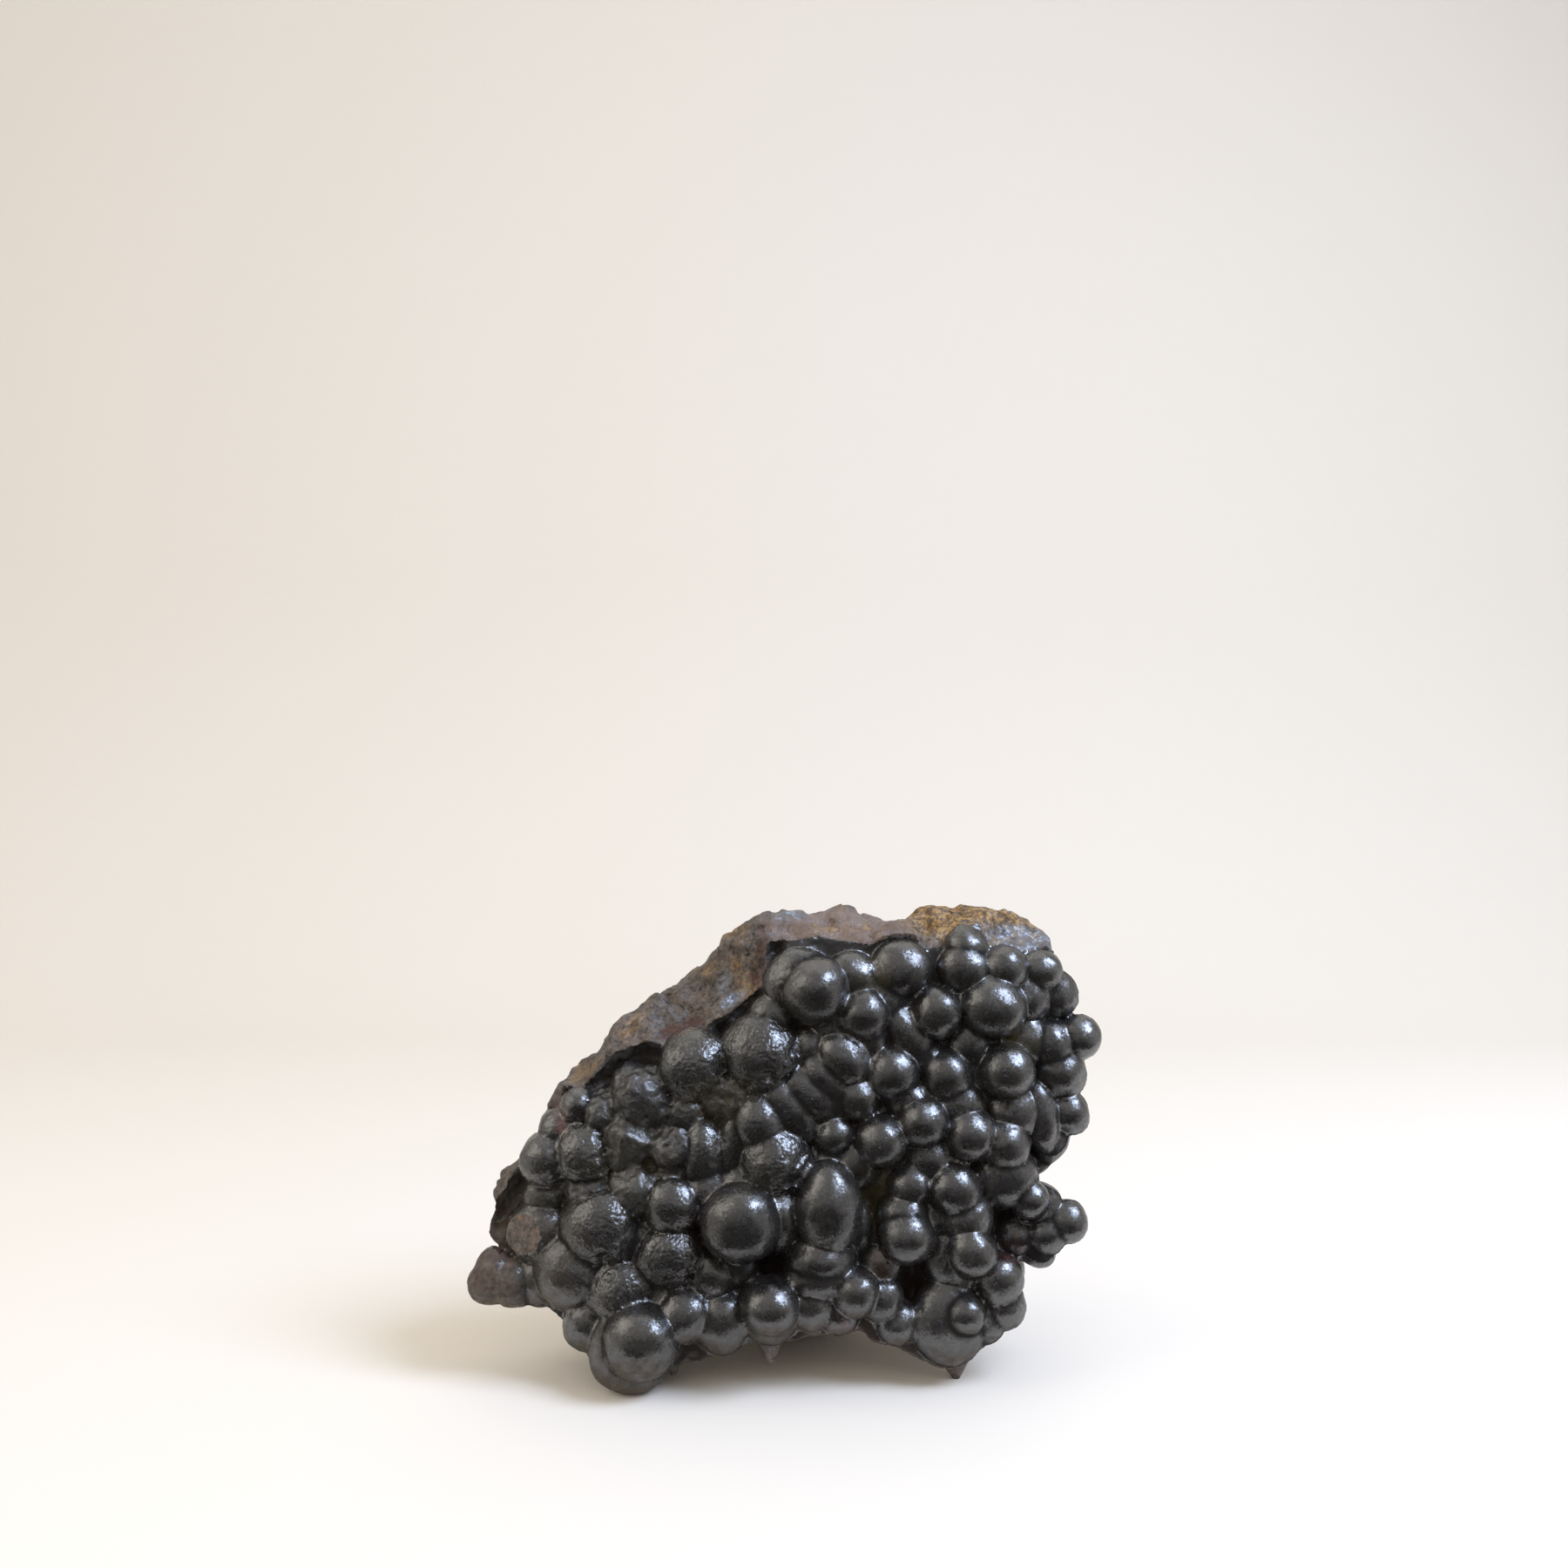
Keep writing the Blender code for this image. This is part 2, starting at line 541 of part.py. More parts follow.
def main():
    for obj in list(bpy.data.objects):
        bpy.data.objects.remove(obj)
    parts = bpy.data.collections.new("botryoidal_hematite")
    cutters = bpy.data.collections.new("cutters")
    for collection in (parts, cutters):
        bpy.context.scene.collection.children.link(collection)
    noise.seed_set(WALL_DRAW)
    hematite(parts, floor_cutter(cutters))


main()
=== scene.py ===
import json
import math

import bpy
import numpy as np
from mathutils import Matrix, Vector, bvhtree, kdtree, noise

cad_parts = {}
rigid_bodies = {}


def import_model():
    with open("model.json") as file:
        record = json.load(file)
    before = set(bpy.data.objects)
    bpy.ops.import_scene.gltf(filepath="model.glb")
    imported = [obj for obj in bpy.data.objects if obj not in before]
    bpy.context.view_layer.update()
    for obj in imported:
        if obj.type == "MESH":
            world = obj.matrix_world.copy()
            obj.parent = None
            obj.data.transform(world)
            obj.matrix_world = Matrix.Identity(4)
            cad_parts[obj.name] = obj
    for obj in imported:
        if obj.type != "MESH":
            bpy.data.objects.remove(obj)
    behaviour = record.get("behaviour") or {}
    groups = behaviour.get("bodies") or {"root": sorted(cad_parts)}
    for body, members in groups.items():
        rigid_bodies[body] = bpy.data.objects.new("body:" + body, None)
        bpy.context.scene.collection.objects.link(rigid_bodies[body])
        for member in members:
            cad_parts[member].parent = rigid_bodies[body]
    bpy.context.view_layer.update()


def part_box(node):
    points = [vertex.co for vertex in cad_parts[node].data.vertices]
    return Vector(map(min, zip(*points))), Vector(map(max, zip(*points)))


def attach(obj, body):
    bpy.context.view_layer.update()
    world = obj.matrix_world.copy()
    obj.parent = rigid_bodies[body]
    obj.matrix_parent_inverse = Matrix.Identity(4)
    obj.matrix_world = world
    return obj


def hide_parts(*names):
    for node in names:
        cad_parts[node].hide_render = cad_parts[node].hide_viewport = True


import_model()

mm = 0.001


# Small helpers for picking objects, applying modifiers, colours and nodes

def pickOnly(*objects):
    bpy.ops.object.select_all(action="DESELECT")
    for obj in objects:
        obj.select_set(True)
    bpy.context.view_layer.objects.active = objects[0]


def applyModifier(obj, kind, **settings):
    pickOnly(obj)
    modifier = obj.modifiers.new(kind.title(), kind)
    for name, value in settings.items():
        setattr(modifier, name, value)
    bpy.ops.object.modifier_apply(modifier=modifier.name)


def meshPoints(obj):
    points = np.empty(len(obj.data.vertices) * 3)
    obj.data.vertices.foreach_get("co", points)
    return points.reshape(-1, 3)


def movePoints(obj, points):
    obj.data.vertices.foreach_set("co", np.ascontiguousarray(points).ravel())
    obj.data.update()


def keepOnPoints(obj, name, values):
    layer = obj.data.attributes.new(name, "FLOAT", "POINT")
    layer.data.foreach_set("value", np.ascontiguousarray(values, dtype=np.float32))


def linear(hexText):
    parts = [int(hexText[i:i + 2], 16) / 255 for i in (1, 3, 5)]
    return (*[v / 12.92 if v <= 0.04045 else ((v + 0.055) / 1.055) ** 2.4 for v in parts], 1.0)


def addNode(tree, kind, settings=None, inputs=None):
    node = tree.nodes.new(kind)
    for name, value in (settings or {}).items():
        setattr(node, name, value)
    for name, value in (inputs or {}).items():
        if isinstance(value, bpy.types.NodeSocket):
            tree.links.new(value, node.inputs[name])
        else:
            node.inputs[name].default_value = value
    return node


def newMaterial(name):
    material = bpy.data.materials.new(name)
    material.use_nodes = True
    material.node_tree.nodes.clear()
    return material, material.node_tree


# The specimen. Places are read from the front, in millimetres: across from the middle of the view, up from
# the ground, as seen from viewDistance in front of the left foot at eyeHeight.
specimen = {
    "viewDistance": 200.0,
    "eyeHeight": 77.8,
    "crustDepth": -1.0,       # the crust's mean face starts this far behind the left foot
    "crustLean": 0.12,        # and leans back this much for each millimetre up
    "crustBulge": 0.0035,     # and curves back to both sides
    "groundBehind": 0.7,      # ground between the lumps lies this far behind their middles
    "breakSlope": 0.95,       # how steeply the broken rim runs back
    "rimThickness": 3.0,
    "backTaper": 0.26,
    "bodyMiddle": (2.0, 31.0),
    "lumpRoot": 1.9,          # a lump's hidden half is drawn out this many times
    "sideRoot": 1.15,
    "swell": (1.12, 1.26),    # lumps that stand forward, and those pressed between them, are this much wider
    "pressedSink": 0.7,       # and the pressed ones lie back this share of the way listed
    "wallRoughness": 1.4,
    "slabDepth": 20.0,
    "slabVoxel": 0.7,
    "fuseVoxel": 0.26,
    "triangles": 192000,      # what the finished piece keeps
    "snapWithin": 0.16,       # fused points this near to a lump's true surface belong to it
    "filletWidth": 0.13,      # how softly two lumps run into each other
    "heel": {"across": 1.5, "depth": 27.0, "halfWidth": 13.0, "start": 9.0, "full": 20.0, "top": 27.0,
             "round": 0.035, "low": -0.8},
    "crustWaves": ((4.6, 0.36), (1.7, 0.1)),         # spacing and height of the skin's unevenness
    "pebbles": ((1.5, 0.12), (0.8, 0.1)),            # spacing and height of the bumps on the pebbled skin
    "crumple": ((3.0, 0.7), (1.3, 0.34), (0.7, 0.16)),   # spacing and height of folds in the worn skin
    "pits": ((2.4, 0.5), (1.3, 0.3)),                # spacing and depth of the pits in the pebbled skin
    "groundGrit": ((1.1, 0.16), (0.6, 0.1)),         # unevenness of the ground between the lumps
    "chips": ((7.0, 0.4), (2.8, 0.46), (1.4, 0.32)),  # size and tilt of the flat chips on broken faces
    "chipEdge": 14.0,         # how sharply one chip gives way to the next
    "fibres": ((34.0, 0.12), (90.0, 0.05)),          # rays around each focus, and how far they stand out
    "openReach": 7.0,         # how far off a neighbour still shades a hollow
}

# Where the fibres of the ore start: they fan out from here towards the crust, x, y, z in the same millimetres
fibreStarts = ((-24.0, 30.0, 24.0), (-8.0, 36.0, 34.0), (16.0, 38.0, 42.0), (24.0, 34.0, 18.0), (4.0, 34.0, 8.0))

outline = (  # the body's outline, clockwise from the apex
    (-2.2, 62.3), (0.6, 61.9), (2.2, 61.2), (5.0, 60.8), (6.7, 61.1), (10.2, 60.4), (13.9, 59.9),
    (16.7, 60.4), (17.8, 62.0), (19.4, 62.4), (23.3, 62.4), (28.3, 61.6), (31.1, 60.2), (33.9, 58.3),
    (34.9, 55.0), (35.6, 50.0), (34.6, 44.4), (33.4, 37.8), (31.6, 32.2), (30.4, 28.6), (28.9, 22.2),
    (29.6, 17.8), (30.6, 13.3), (30.2, 11.0), (26.2, 6.4), (24.0, 4.6), (22.3, 3.4), (20.0, 3.9),
    (17.8, 4.0), (14.4, 5.9), (11.1, 6.6), (10.2, 8.0), (7.3, 7.5), (4.4, 7.7), (0.6, 6.4),
    (-3.6, 6.4), (-7.2, 5.7), (-11.1, 3.8), (-13.3, 3.5), (-16.5, 2.0), (-18.6, 0.6), (-22.0, 0.3),
    (-23.4, 1.4), (-25.2, 4.8), (-27.8, 7.4), (-28.0, 9.0), (-30.0, 11.0), (-34.2, 11.4),
    (-34.9, 17.8), (-37.0, 19.6), (-37.6, 21.3), (-36.9, 23.6), (-37.2, 25.3), (-35.5, 29.2),
    (-33.0, 31.1), (-31.1, 34.8), (-28.9, 38.7), (-27.2, 40.9), (-24.1, 42.6), (-22.8, 44.1),
    (-22.1, 46.2), (-19.2, 48.9), (-15.0, 51.4), (-13.3, 52.2), (-9.2, 56.0), (-6.7, 58.1),
    (-3.8, 60.2),
)
crustEdge = (  # where the crust ends and the broken rim starts
    (-37.0, 24.0), (-33.0, 30.5), (-28.9, 34.4), (-27.8, 38.0), (-24.7, 40.0), (-21.7, 43.6),
    (-17.2, 45.0), (-14.4, 44.1), (-9.4, 47.2), (-5.6, 49.4), (-2.5, 52.2), (-2.1, 57.6), (5.0, 58.3),
    (11.1, 57.1), (13.3, 58.0), (18.3, 56.8), (20.2, 57.2), (22.2, 60.0), (25.0, 60.0), (26.0, 57.3),
    (30.6, 56.5), (36.0, 56.5),
)
backPlanes = (  # depth at (0, 0), gain across, gain up
    (39.5, 0.02, -0.30), (33.5, 0.46, -0.06), (41.5, -0.52, -0.05), (31.0, -0.10, 0.62), (46.0, 0.22, -0.50),
)
gaps = (  # dark gaps in the crust: across, up, half width, half height, extra depth
    (-2.4, 16.4, 3.0, 1.6, 3.0), (16.2, 13.4, 1.8, 4.6, 3.4), (10.6, 25.2, 1.8, 3.2, 2.2),
    (28.4, 22.8, 3.0, 5.2, 3.6), (-31.4, 25.0, 2.6, 2.2, 1.6), (12.0, 52.6, 2.6, 1.6, 1.6),
)

# Lumps: across, up, how far the middle lies behind the mean face, half width, half height over half width,
# and the lean of the long axis towards +X in degrees
smoothLumps = (
    (4, 51.4, -0.8, 3.9), (8.6, 53, 1.6, 2.9), (10, 48.3, -0.3, 3.1),
    (10.7, 45.2, 0.7, 2, 1.4), (15.8, 45.9, 0.4, 2.1, 1.75, -32), (19.3, 48.6, -0.4, 3.1),
    (14.7, 54, 1.2, 3.3), (26.4, 49.3, -0.6, 4, 0.92), (22.8, 54.2, 0.2, 2.7), (23.1, 56.9, 1.3, 2.4),
    (28, 54.2, 0, 2.8), (32.6, 53.9, 0.5, 2.3), (-1.6, 47.8, 2.2, 2.8), (6.4, 47.2, 1.6, 2.8),
    (12.9, 50.4, 2, 2.8), (22.6, 50.4, 2.4, 2.6), (30.6, 50.6, 1.8, 2.8), (10.6, 55.4, 4.4, 2),
    (28.4, 41.2, -1.1, 3.3), (20.6, 40.6, 0.1, 2.8), (17.6, 34.7, -0.4, 3.1),
    (15.9, 37.4, 1, 2.4), (23.6, 33, -0.5, 3.1), (28.1, 31.8, -0.3, 3), (28.9, 36.1, 1.2, 2.9),
    (32.6, 35.4, 0.8, 2, 1.9, -8), (27.8, 28, 2, 3.6), (13.6, 40.9, 0.1, 3), (9.4, 37.8, 0.4, 2.4),
    (12.4, 32.2, -0.2, 3.1), (6.3, 33.1, 0.6, 2.1), (23.4, 44.6, 1.6, 2.6), (22, 37, 1.4, 3),
    (18.2, 30, 2, 3), (30.8, 45, 2.4, 2.8), (17.6, 42.8, 1.8, 2.4), (9.2, 29.6, 2.6, 2.8),
    (5.6, 30.2, 2.8, 2.2), (0.8, 36.3, 0.3, 2.5, 1.6, -40), (3.4, 38.2, 0.1, 2.3, 1.6, -42),
    (5.2, 40.4, 0, 2.3, 1.55, -44), (7.6, 42.8, -0.2, 2.9, 1.25, -46), (3.6, 44, 1.8, 2.6),
    (6.4, 37.4, 1.8, 2.4), (-10.2, 30.4, 0.8, 2.6, 1.5), (-6.2, 31.9, 0.4, 1.9, 2.5, 8),
    (-3, 34.6, 0.3, 3.1, 1.15, -20), (-26.2, 36.7, 0.8, 2), (-30, 29.8, 0.6, 3), (-12.8, 35.8, 2.4, 3),
    (-5.6, 26.8, 1.4, 2.8), (-28.4, 33.6, 1.8, 2.4), (-26.7, 16.1, 0.6, 4.2),
    (-14.2, 24, -0.4, 3.4), (-5.5, 21.9, -1.4, 4.7), (-0.9, 22.4, 0.4, 2.6, 1.4), (-12.7, 10.2, -0.4, 3.3),
    (-24.6, 9, 0.6, 2.9), (-18.2, 6.8, -2.6, 4.3), (-9.4, 15.3, 0.7, 2.6), (-30.6, 20.6, 2, 3.6),
    (-31, 14.8, 2, 2.8), (-8, 9.4, 1.2, 3.2), (-9.4, 26.2, 1.6, 3), (-30.2, 25.4, 2.2, 2.4),
    (-19, 20, 1.6, 3.2), (-6, 16.8, 2.6, 2.6), (-16, 12.4, 1.8, 3), (5.6, 23.6, -1.1, 3.8, 1.42),
    (4.6, 17.4, 0.2, 3.7, 0.75), (4.2, 15.2, 0.7, 3.7, 0.65), (9.4, 20.6, 2, 1.4, 2.4),
    (-1.7, 11.2, -1.6, 3.3), (3.3, 11.6, 0.6, 2.7), (9.1, 13, -0.4, 2.9),
    (12.4, 12.2, 0.7, 2.4), (15.6, 20, -0.6, 3.2), (15.3, 22.6, 0.8, 2.8), (16.1, 26.7, 0.6, 2.4),
    (21.6, 26.1, -0.4, 3.2), (23, 22.6, 0.3, 3), (23.8, 18.1, -1.2, 2.9),
    (27.4, 14.4, -0.1, 2.9), (27.9, 11.4, 1, 2.4), (22.8, 10.2, -0.5, 2.5),
    (24.9, 9.6, 2.4, 2.6), (7, 10.5, 1.4, 2.2), (14.2, 9.4, 2.2, 2.4), (18.8, 22.6, 2.4, 2.6),
    (12, 16.6, 2.8, 2.6),
)
sideLumps = (  # both halves of these show
    (34.4, 51, 2.2, 3.2), (37.5, 45.5, 1, 2.9), (33.9, 44.6, 1.4, 3.2), (34.7, 41.2, 2.2, 3.8),
    (36.2, 35.8, 1.6, 2.8), (34, 32.2, 2.6, 2.2, 1.4, 35), (32.4, 30, 3.4, 1.5, 1.5, 45),
    (31.1, 24.7, 0.6, 2.7), (32.5, 24, 2.4, 2.9), (36.1, 21.9, 1.2, 2.8), (33.4, 20.6, 2, 2.8),
    (32.2, 18.4, 3, 2.4), (29.6, 20.6, 4.6, 3.6), (32, 48.4, 8, 3.6),
    (31.6, 41.6, 8.6, 4.2), (30.4, 35, 8.2, 3.6), (26.8, 16, 7.6, 3.8), (30.6, 54.2, 7.2, 3.2),
    (26.2, 28.2, 10.4, 3.8), (-29.2, 15.6, 6.6, 4), (-23.6, 8.8, 6.4, 3.8),
    (-32.6, 22, 5.4, 3), (-37.2, 14.9, 0, 2.9, 1.25, 8), (-34.4, 14.2, 0.6, 2.9, 1.1),
)
pebbledLumps = (  # skin with fine bumps and pits, on the left
    (-11.1, 41.6, 1.7, 4.1), (-2.8, 43.4, 1.1, 4.4), (-1.1, 29.8, 0.8, 4.1), (-25, 30.6, 0.9, 3.6),
    (-22.9, 21.3, 0.1, 4.5), (-14.4, 17.9, 0.6, 4.2, 0.85), (-20.4, 13.4, 0.8, 4.1),
)
wornLumps = (  # low, with crumpled skin
    (-17.8, 37.6, 1.4, 3.8), (-13.9, 31.4, 0.8, 2.9), (-19.8, 32.2, 1, 3.4), (-24.4, 26.4, 1.6, 3.2),
    (-18.6, 25.8, 0.9, 3.3), (-7, 38.2, 1.8, 3.4), (-22.4, 35.6, 2, 3), (-13.8, 28, 1.8, 2.6),
)
collarLumps = (  # shallow, showing as a ring round the lump before them; the last value is depth over half width
    (2, 52.2, 1.6, 4.8, 1, 0, 0.75), (26.7, 41.1, 1.3, 4.3, 1, 0, 0.7), (-23.8, 19.6, 0.6, 5, 1, 0, 0.72),
    (-19.6, 5.6, -0.9, 5.5, 1, 0, 0.6), (-1.9, 10.6, 0.9, 4.2, 1, 0, 0.7), (21.9, 17.4, 1.4, 4.3, 1.1, 0, 0.75),
    (20.8, 9.2, 1.4, 5, 1.15, 0, 0.65),
)
points = (  # pointed growths: middle of the wide end and the point as across, up, depth, and the half width
    ((21.6, 6.6, 6.2), (21.9, 1.8, 5.4), 3.4), ((-1.7, 8.0, 3.2), (-1.7, 3.9, 2.6), 2.5),
    ((-14.4, 6.6, 4.2), (-14.0, 2.4, 3.4), 1.9), ((20.9, 41.2, 8.0), (22.7, 44.2, 7.4), 2.0),
    ((12.4, 32.6, 5.8), (12.2, 36.8, 6.2), 2.6), ((9.1, 13.6, 3.8), (9.8, 17.9, 4.2), 2.4),
)


brokenFacets = (  # middle across and up, half width, half height, depth there, gain across, gain up
    (-33.4, 20.6, 2.8, 2.8, 4.3, -0.8, 0.1), (-34.6, 25.2, 2.2, 2.2, 5.2, -0.9, 0.3),
)


# Places and depths

def smoothStep(value, start, full):
    share = np.clip((value - start) / (full - start), 0.0, 1.0)
    return share * share * (3.0 - 2.0 * share)


def noiseAt(at, spacing, shift=0.0):
    return np.array([noise.noise(row) for row in (at / spacing + shift).tolist()])


def meanFace(across, up):
    return specimen["crustDepth"] + specimen["crustLean"] * up + specimen["crustBulge"] * across**2


def placed(across, up, depth):
    spread = 1.0 + depth / specimen["viewDistance"]
    eye = specimen["eyeHeight"]
    return np.stack([across * spread, depth + 0.0 * across, eye + (up - eye) * spread], axis=-1)


def seenFrom(at):
    spread = 1.0 + at[:, 1] / specimen["viewDistance"]
    eye = specimen["eyeHeight"]
    return at[:, 0] / spread, eye + (at[:, 2] - eye) / spread


def pastEdge(across, up):
    # distance outside the crust's edge, negative inside it
    place = np.stack([across, up], axis=-1)
    nearest = np.full(len(place), 1e9)
    for start, end in zip(crustEdge, crustEdge[1:]):
        start = np.array(start)
        along = np.array(end) - start
        share = np.clip(((place - start) @ along) / (along @ along), 0.0, 1.0)
        nearest = np.minimum(nearest, np.linalg.norm(place - start - share[:, None] * along, axis=1))
    edgeAcross, edgeUp = zip(*crustEdge)
    return np.where(up > np.interp(across, edgeAcross, edgeUp), nearest, -nearest)


def frontDepth(across, up):
    depth = meanFace(across, up) + specimen["groundBehind"]
    for gapAcross, gapUp, halfWidth, halfHeight, extra in gaps:
        depth = depth + extra * np.exp(-((across - gapAcross) / halfWidth) ** 2 - ((up - gapUp) / halfHeight) ** 2)
    past = pastEdge(across, up)
    groove = 2.4 * np.exp(-(((past + 1.9) / 1.2) ** 2))
    depth = depth + np.where((past < 0) & (across < 0), groove, 0.0)
    flat = np.stack([across, up, 0.0 * up], axis=-1)
    uneven = 0.9 * noiseAt(flat, 1 / 0.32) * np.clip(past, 0.0, 1.5)
    return depth + np.where(past > 0, specimen["breakSlope"] * past + uneven, 0.0)


def backDepth(across, up):
    nearest = np.min([a + b * across + c * up for a, b, c in backPlanes], axis=0)
    flat = np.stack([across, up, 7.0 + 0.0 * up], axis=-1)
    return nearest + 1.3 * noiseAt(flat, 1 / 0.16)


def loweredToHeel(at):
    heel = specimen["heel"]
    across = at[:, 0] - heel["across"]
    reach = np.exp(-((across / heel["halfWidth"]) ** 4)) * smoothStep(at[:, 1], heel["start"], heel["full"])
    reach *= 1.0 - smoothStep(at[:, 2], heel["top"] - 13.0, heel["top"])
    lowest = heel["low"] + heel["round"] * (across**2 + (at[:, 1] - heel["depth"]) ** 2)
    lowered = at.copy()
    lowered[:, 2] -= reach * np.maximum(at[:, 2] - lowest, 0.0)
    return lowered


def bodyPoints(across, up, share):
    # share runs from 0 on the front face to 1 on the back
    front = frontDepth(across, up)
    back = np.maximum(backDepth(across, up), front + specimen["rimThickness"])
    at = placed(across, up, front)
    behind = share * (back - front)
    pull = specimen["backTaper"] * (behind / 30.0) ** 1.5
    middle = np.stack([0.0 * front + specimen["bodyMiddle"][0], front, 0.0 * front + specimen["bodyMiddle"][1]], axis=-1)
    at = at + (middle - at) * pull[:, None]
    at[:, 1] = front + behind
    wander = np.array([noise.noise_vector(row) for row in (at * 0.13).tolist()])
    at = at + wander * (specimen["wallRoughness"] * smoothStep(share, 0.3, 0.7))[:, None]
    return loweredToHeel(at)


# The body: the outline filled and given thickness, then each point moved to its real depth
bpy.ops.object.select_all(action="DESELECT")
bpy.ops.mesh.primitive_circle_add(vertices=len(outline), radius=30 * mm, fill_type="NOTHING")
body = bpy.context.object
half = specimen["slabDepth"] / 2
for vertex, (across, up) in zip(body.data.vertices, outline):
    vertex.co = (across * mm, up * mm, -half * mm)
bpy.ops.object.mode_set(mode="EDIT")
bpy.ops.mesh.select_all(action="SELECT")
bpy.ops.mesh.edge_face_add()
bpy.ops.mesh.extrude_region_move(TRANSFORM_OT_translate={"value": (0.0, 0.0, 2 * half * mm)})
bpy.ops.mesh.select_all(action="SELECT")
bpy.ops.mesh.normals_make_consistent(inside=False)
bpy.ops.object.mode_set(mode="OBJECT")
applyModifier(body, "REMESH", mode="VOXEL", voxel_size=specimen["slabVoxel"] * mm)
slab = meshPoints(body) / mm
layer = np.clip(0.5 + slab[:, 2] / (specimen["slabDepth"] - specimen["slabVoxel"]), 0.0, 1.0)
movePoints(body, bodyPoints(slab[:, 0], slab[:, 1], layer) * mm)
print("body:", len(slab), "points")

# The lumps: a ball with its hidden half drawn out, copied to each place


def drawnBall(root, flat):
    bpy.ops.object.select_all(action="DESELECT")
    bpy.ops.mesh.primitive_uv_sphere_add(segments=48, ring_count=32, radius=1.0)
    ball = bpy.context.object
    for side, stretch in ((1, root), (-1, flat)):
        bpy.ops.object.mode_set(mode="EDIT")
        bpy.ops.mesh.select_all(action="DESELECT")
        bpy.ops.object.mode_set(mode="OBJECT")
        for vertex in ball.data.vertices:
            vertex.select = vertex.co.y * side > 0
        bpy.ops.object.mode_set(mode="EDIT")
        bpy.ops.transform.resize(value=(1.0, stretch, 1.0), center_override=(0.0, 0.0, 0.0))
        bpy.ops.object.mode_set(mode="OBJECT")
    return ball


def lumpPlace(shape, pressed):
    across, up, sink, radius, tall, lean = shape[:6]
    swell = specimen["swell"][1 if sink > 0 else 0] if pressed else 1.0
    sink *= specimen["pressedSink"] if pressed and sink > 0 else 1.0
    depth = meanFace(across, up) + sink + radius * (swell - 1.0)
    halfWidth = radius * swell * (1.0 + depth / specimen["viewDistance"])
    size = Matrix.Diagonal((halfWidth, halfWidth, halfWidth * tall, 1.0))
    at = placed(np.float64(across), np.float64(up), np.float64(depth))
    return Matrix.Translation(at) @ Matrix.Rotation(math.radians(lean), 4, "Y") @ size


allLumps = []  # place, root, depth over half width, skin
for shapes, root, skin, pressed in (
    (smoothLumps, specimen["lumpRoot"], "smooth", True),
    (sideLumps, specimen["sideRoot"], "smooth", False),
    (pebbledLumps, specimen["lumpRoot"], "pebbled", True),
    (wornLumps, specimen["lumpRoot"], "worn", True),
    (collarLumps, specimen["sideRoot"], "smooth", False),
):
    for shape in shapes:
        full = (*shape, *(1.0, 0.0, 1.0)[len(shape) - 4:])
        allLumps.append((lumpPlace(full, pressed), root, full[6], skin))
balls = {}
lumps = []
for place, root, flat, skin in allLumps:
    if (root, flat) not in balls:
        balls[root, flat] = drawnBall(root, flat)
    copy = bpy.data.objects.new("lump", balls[root, flat].data.copy())
    copy.data.transform(Matrix.Scale(mm, 4) @ place)
    bpy.context.scene.collection.objects.link(copy)
    lumps.append(copy)
for ball in balls.values():
    bpy.data.objects.remove(ball)
for wide, tip, radius in points:
    wideEnd = Vector(placed(*np.array(wide))) * mm
    tipEnd = Vector(placed(*np.array(tip))) * mm
    along = tipEnd - wideEnd
    bpy.ops.object.select_all(action="DESELECT")
    bpy.ops.mesh.primitive_cone_add(
        vertices=28, radius1=radius * mm, radius2=0.3 * mm, depth=along.length,
        location=(wideEnd + tipEnd) / 2, rotation=along.to_track_quat("Z", "Y").to_euler(),
    )
    bpy.ops.object.transform_apply(location=True, rotation=True, scale=True)
    lumps.append(bpy.context.object)
pickOnly(body, *lumps)
bpy.ops.object.join()
ore = body
ore.name = ore.data.name = "hematite_specimen"
applyModifier(ore, "REMESH", mode="VOXEL", voxel_size=specimen["fuseVoxel"] * mm)
at = meshPoints(ore) / mm
print("fused:", len(at), "points")

# Fused points beside a lump go back onto its true surface, and remember which skin they are. Where lumps
# meet, each still pulls a little, so that they run into each other in a fillet.


def fromLump(spot, place, root, flat):
    # distance outside the lump and the direction straight away from it
    local = (spot - place[:3, 3]) @ np.linalg.inv(place)[:3, :3].T
    squeeze = np.ones_like(local)
    squeeze[:, 1] = np.where(local[:, 1] > 0, 1.0 / root, 1.0 / flat)
    unit = local * squeeze
    away = np.linalg.norm(unit, axis=1)
    slope = (unit * squeeze / away[:, None]) @ np.linalg.inv(place)[:3, :3]
    steep = np.linalg.norm(slope, axis=1)
    return (away - 1.0) / steep, slope / steep[:, None]


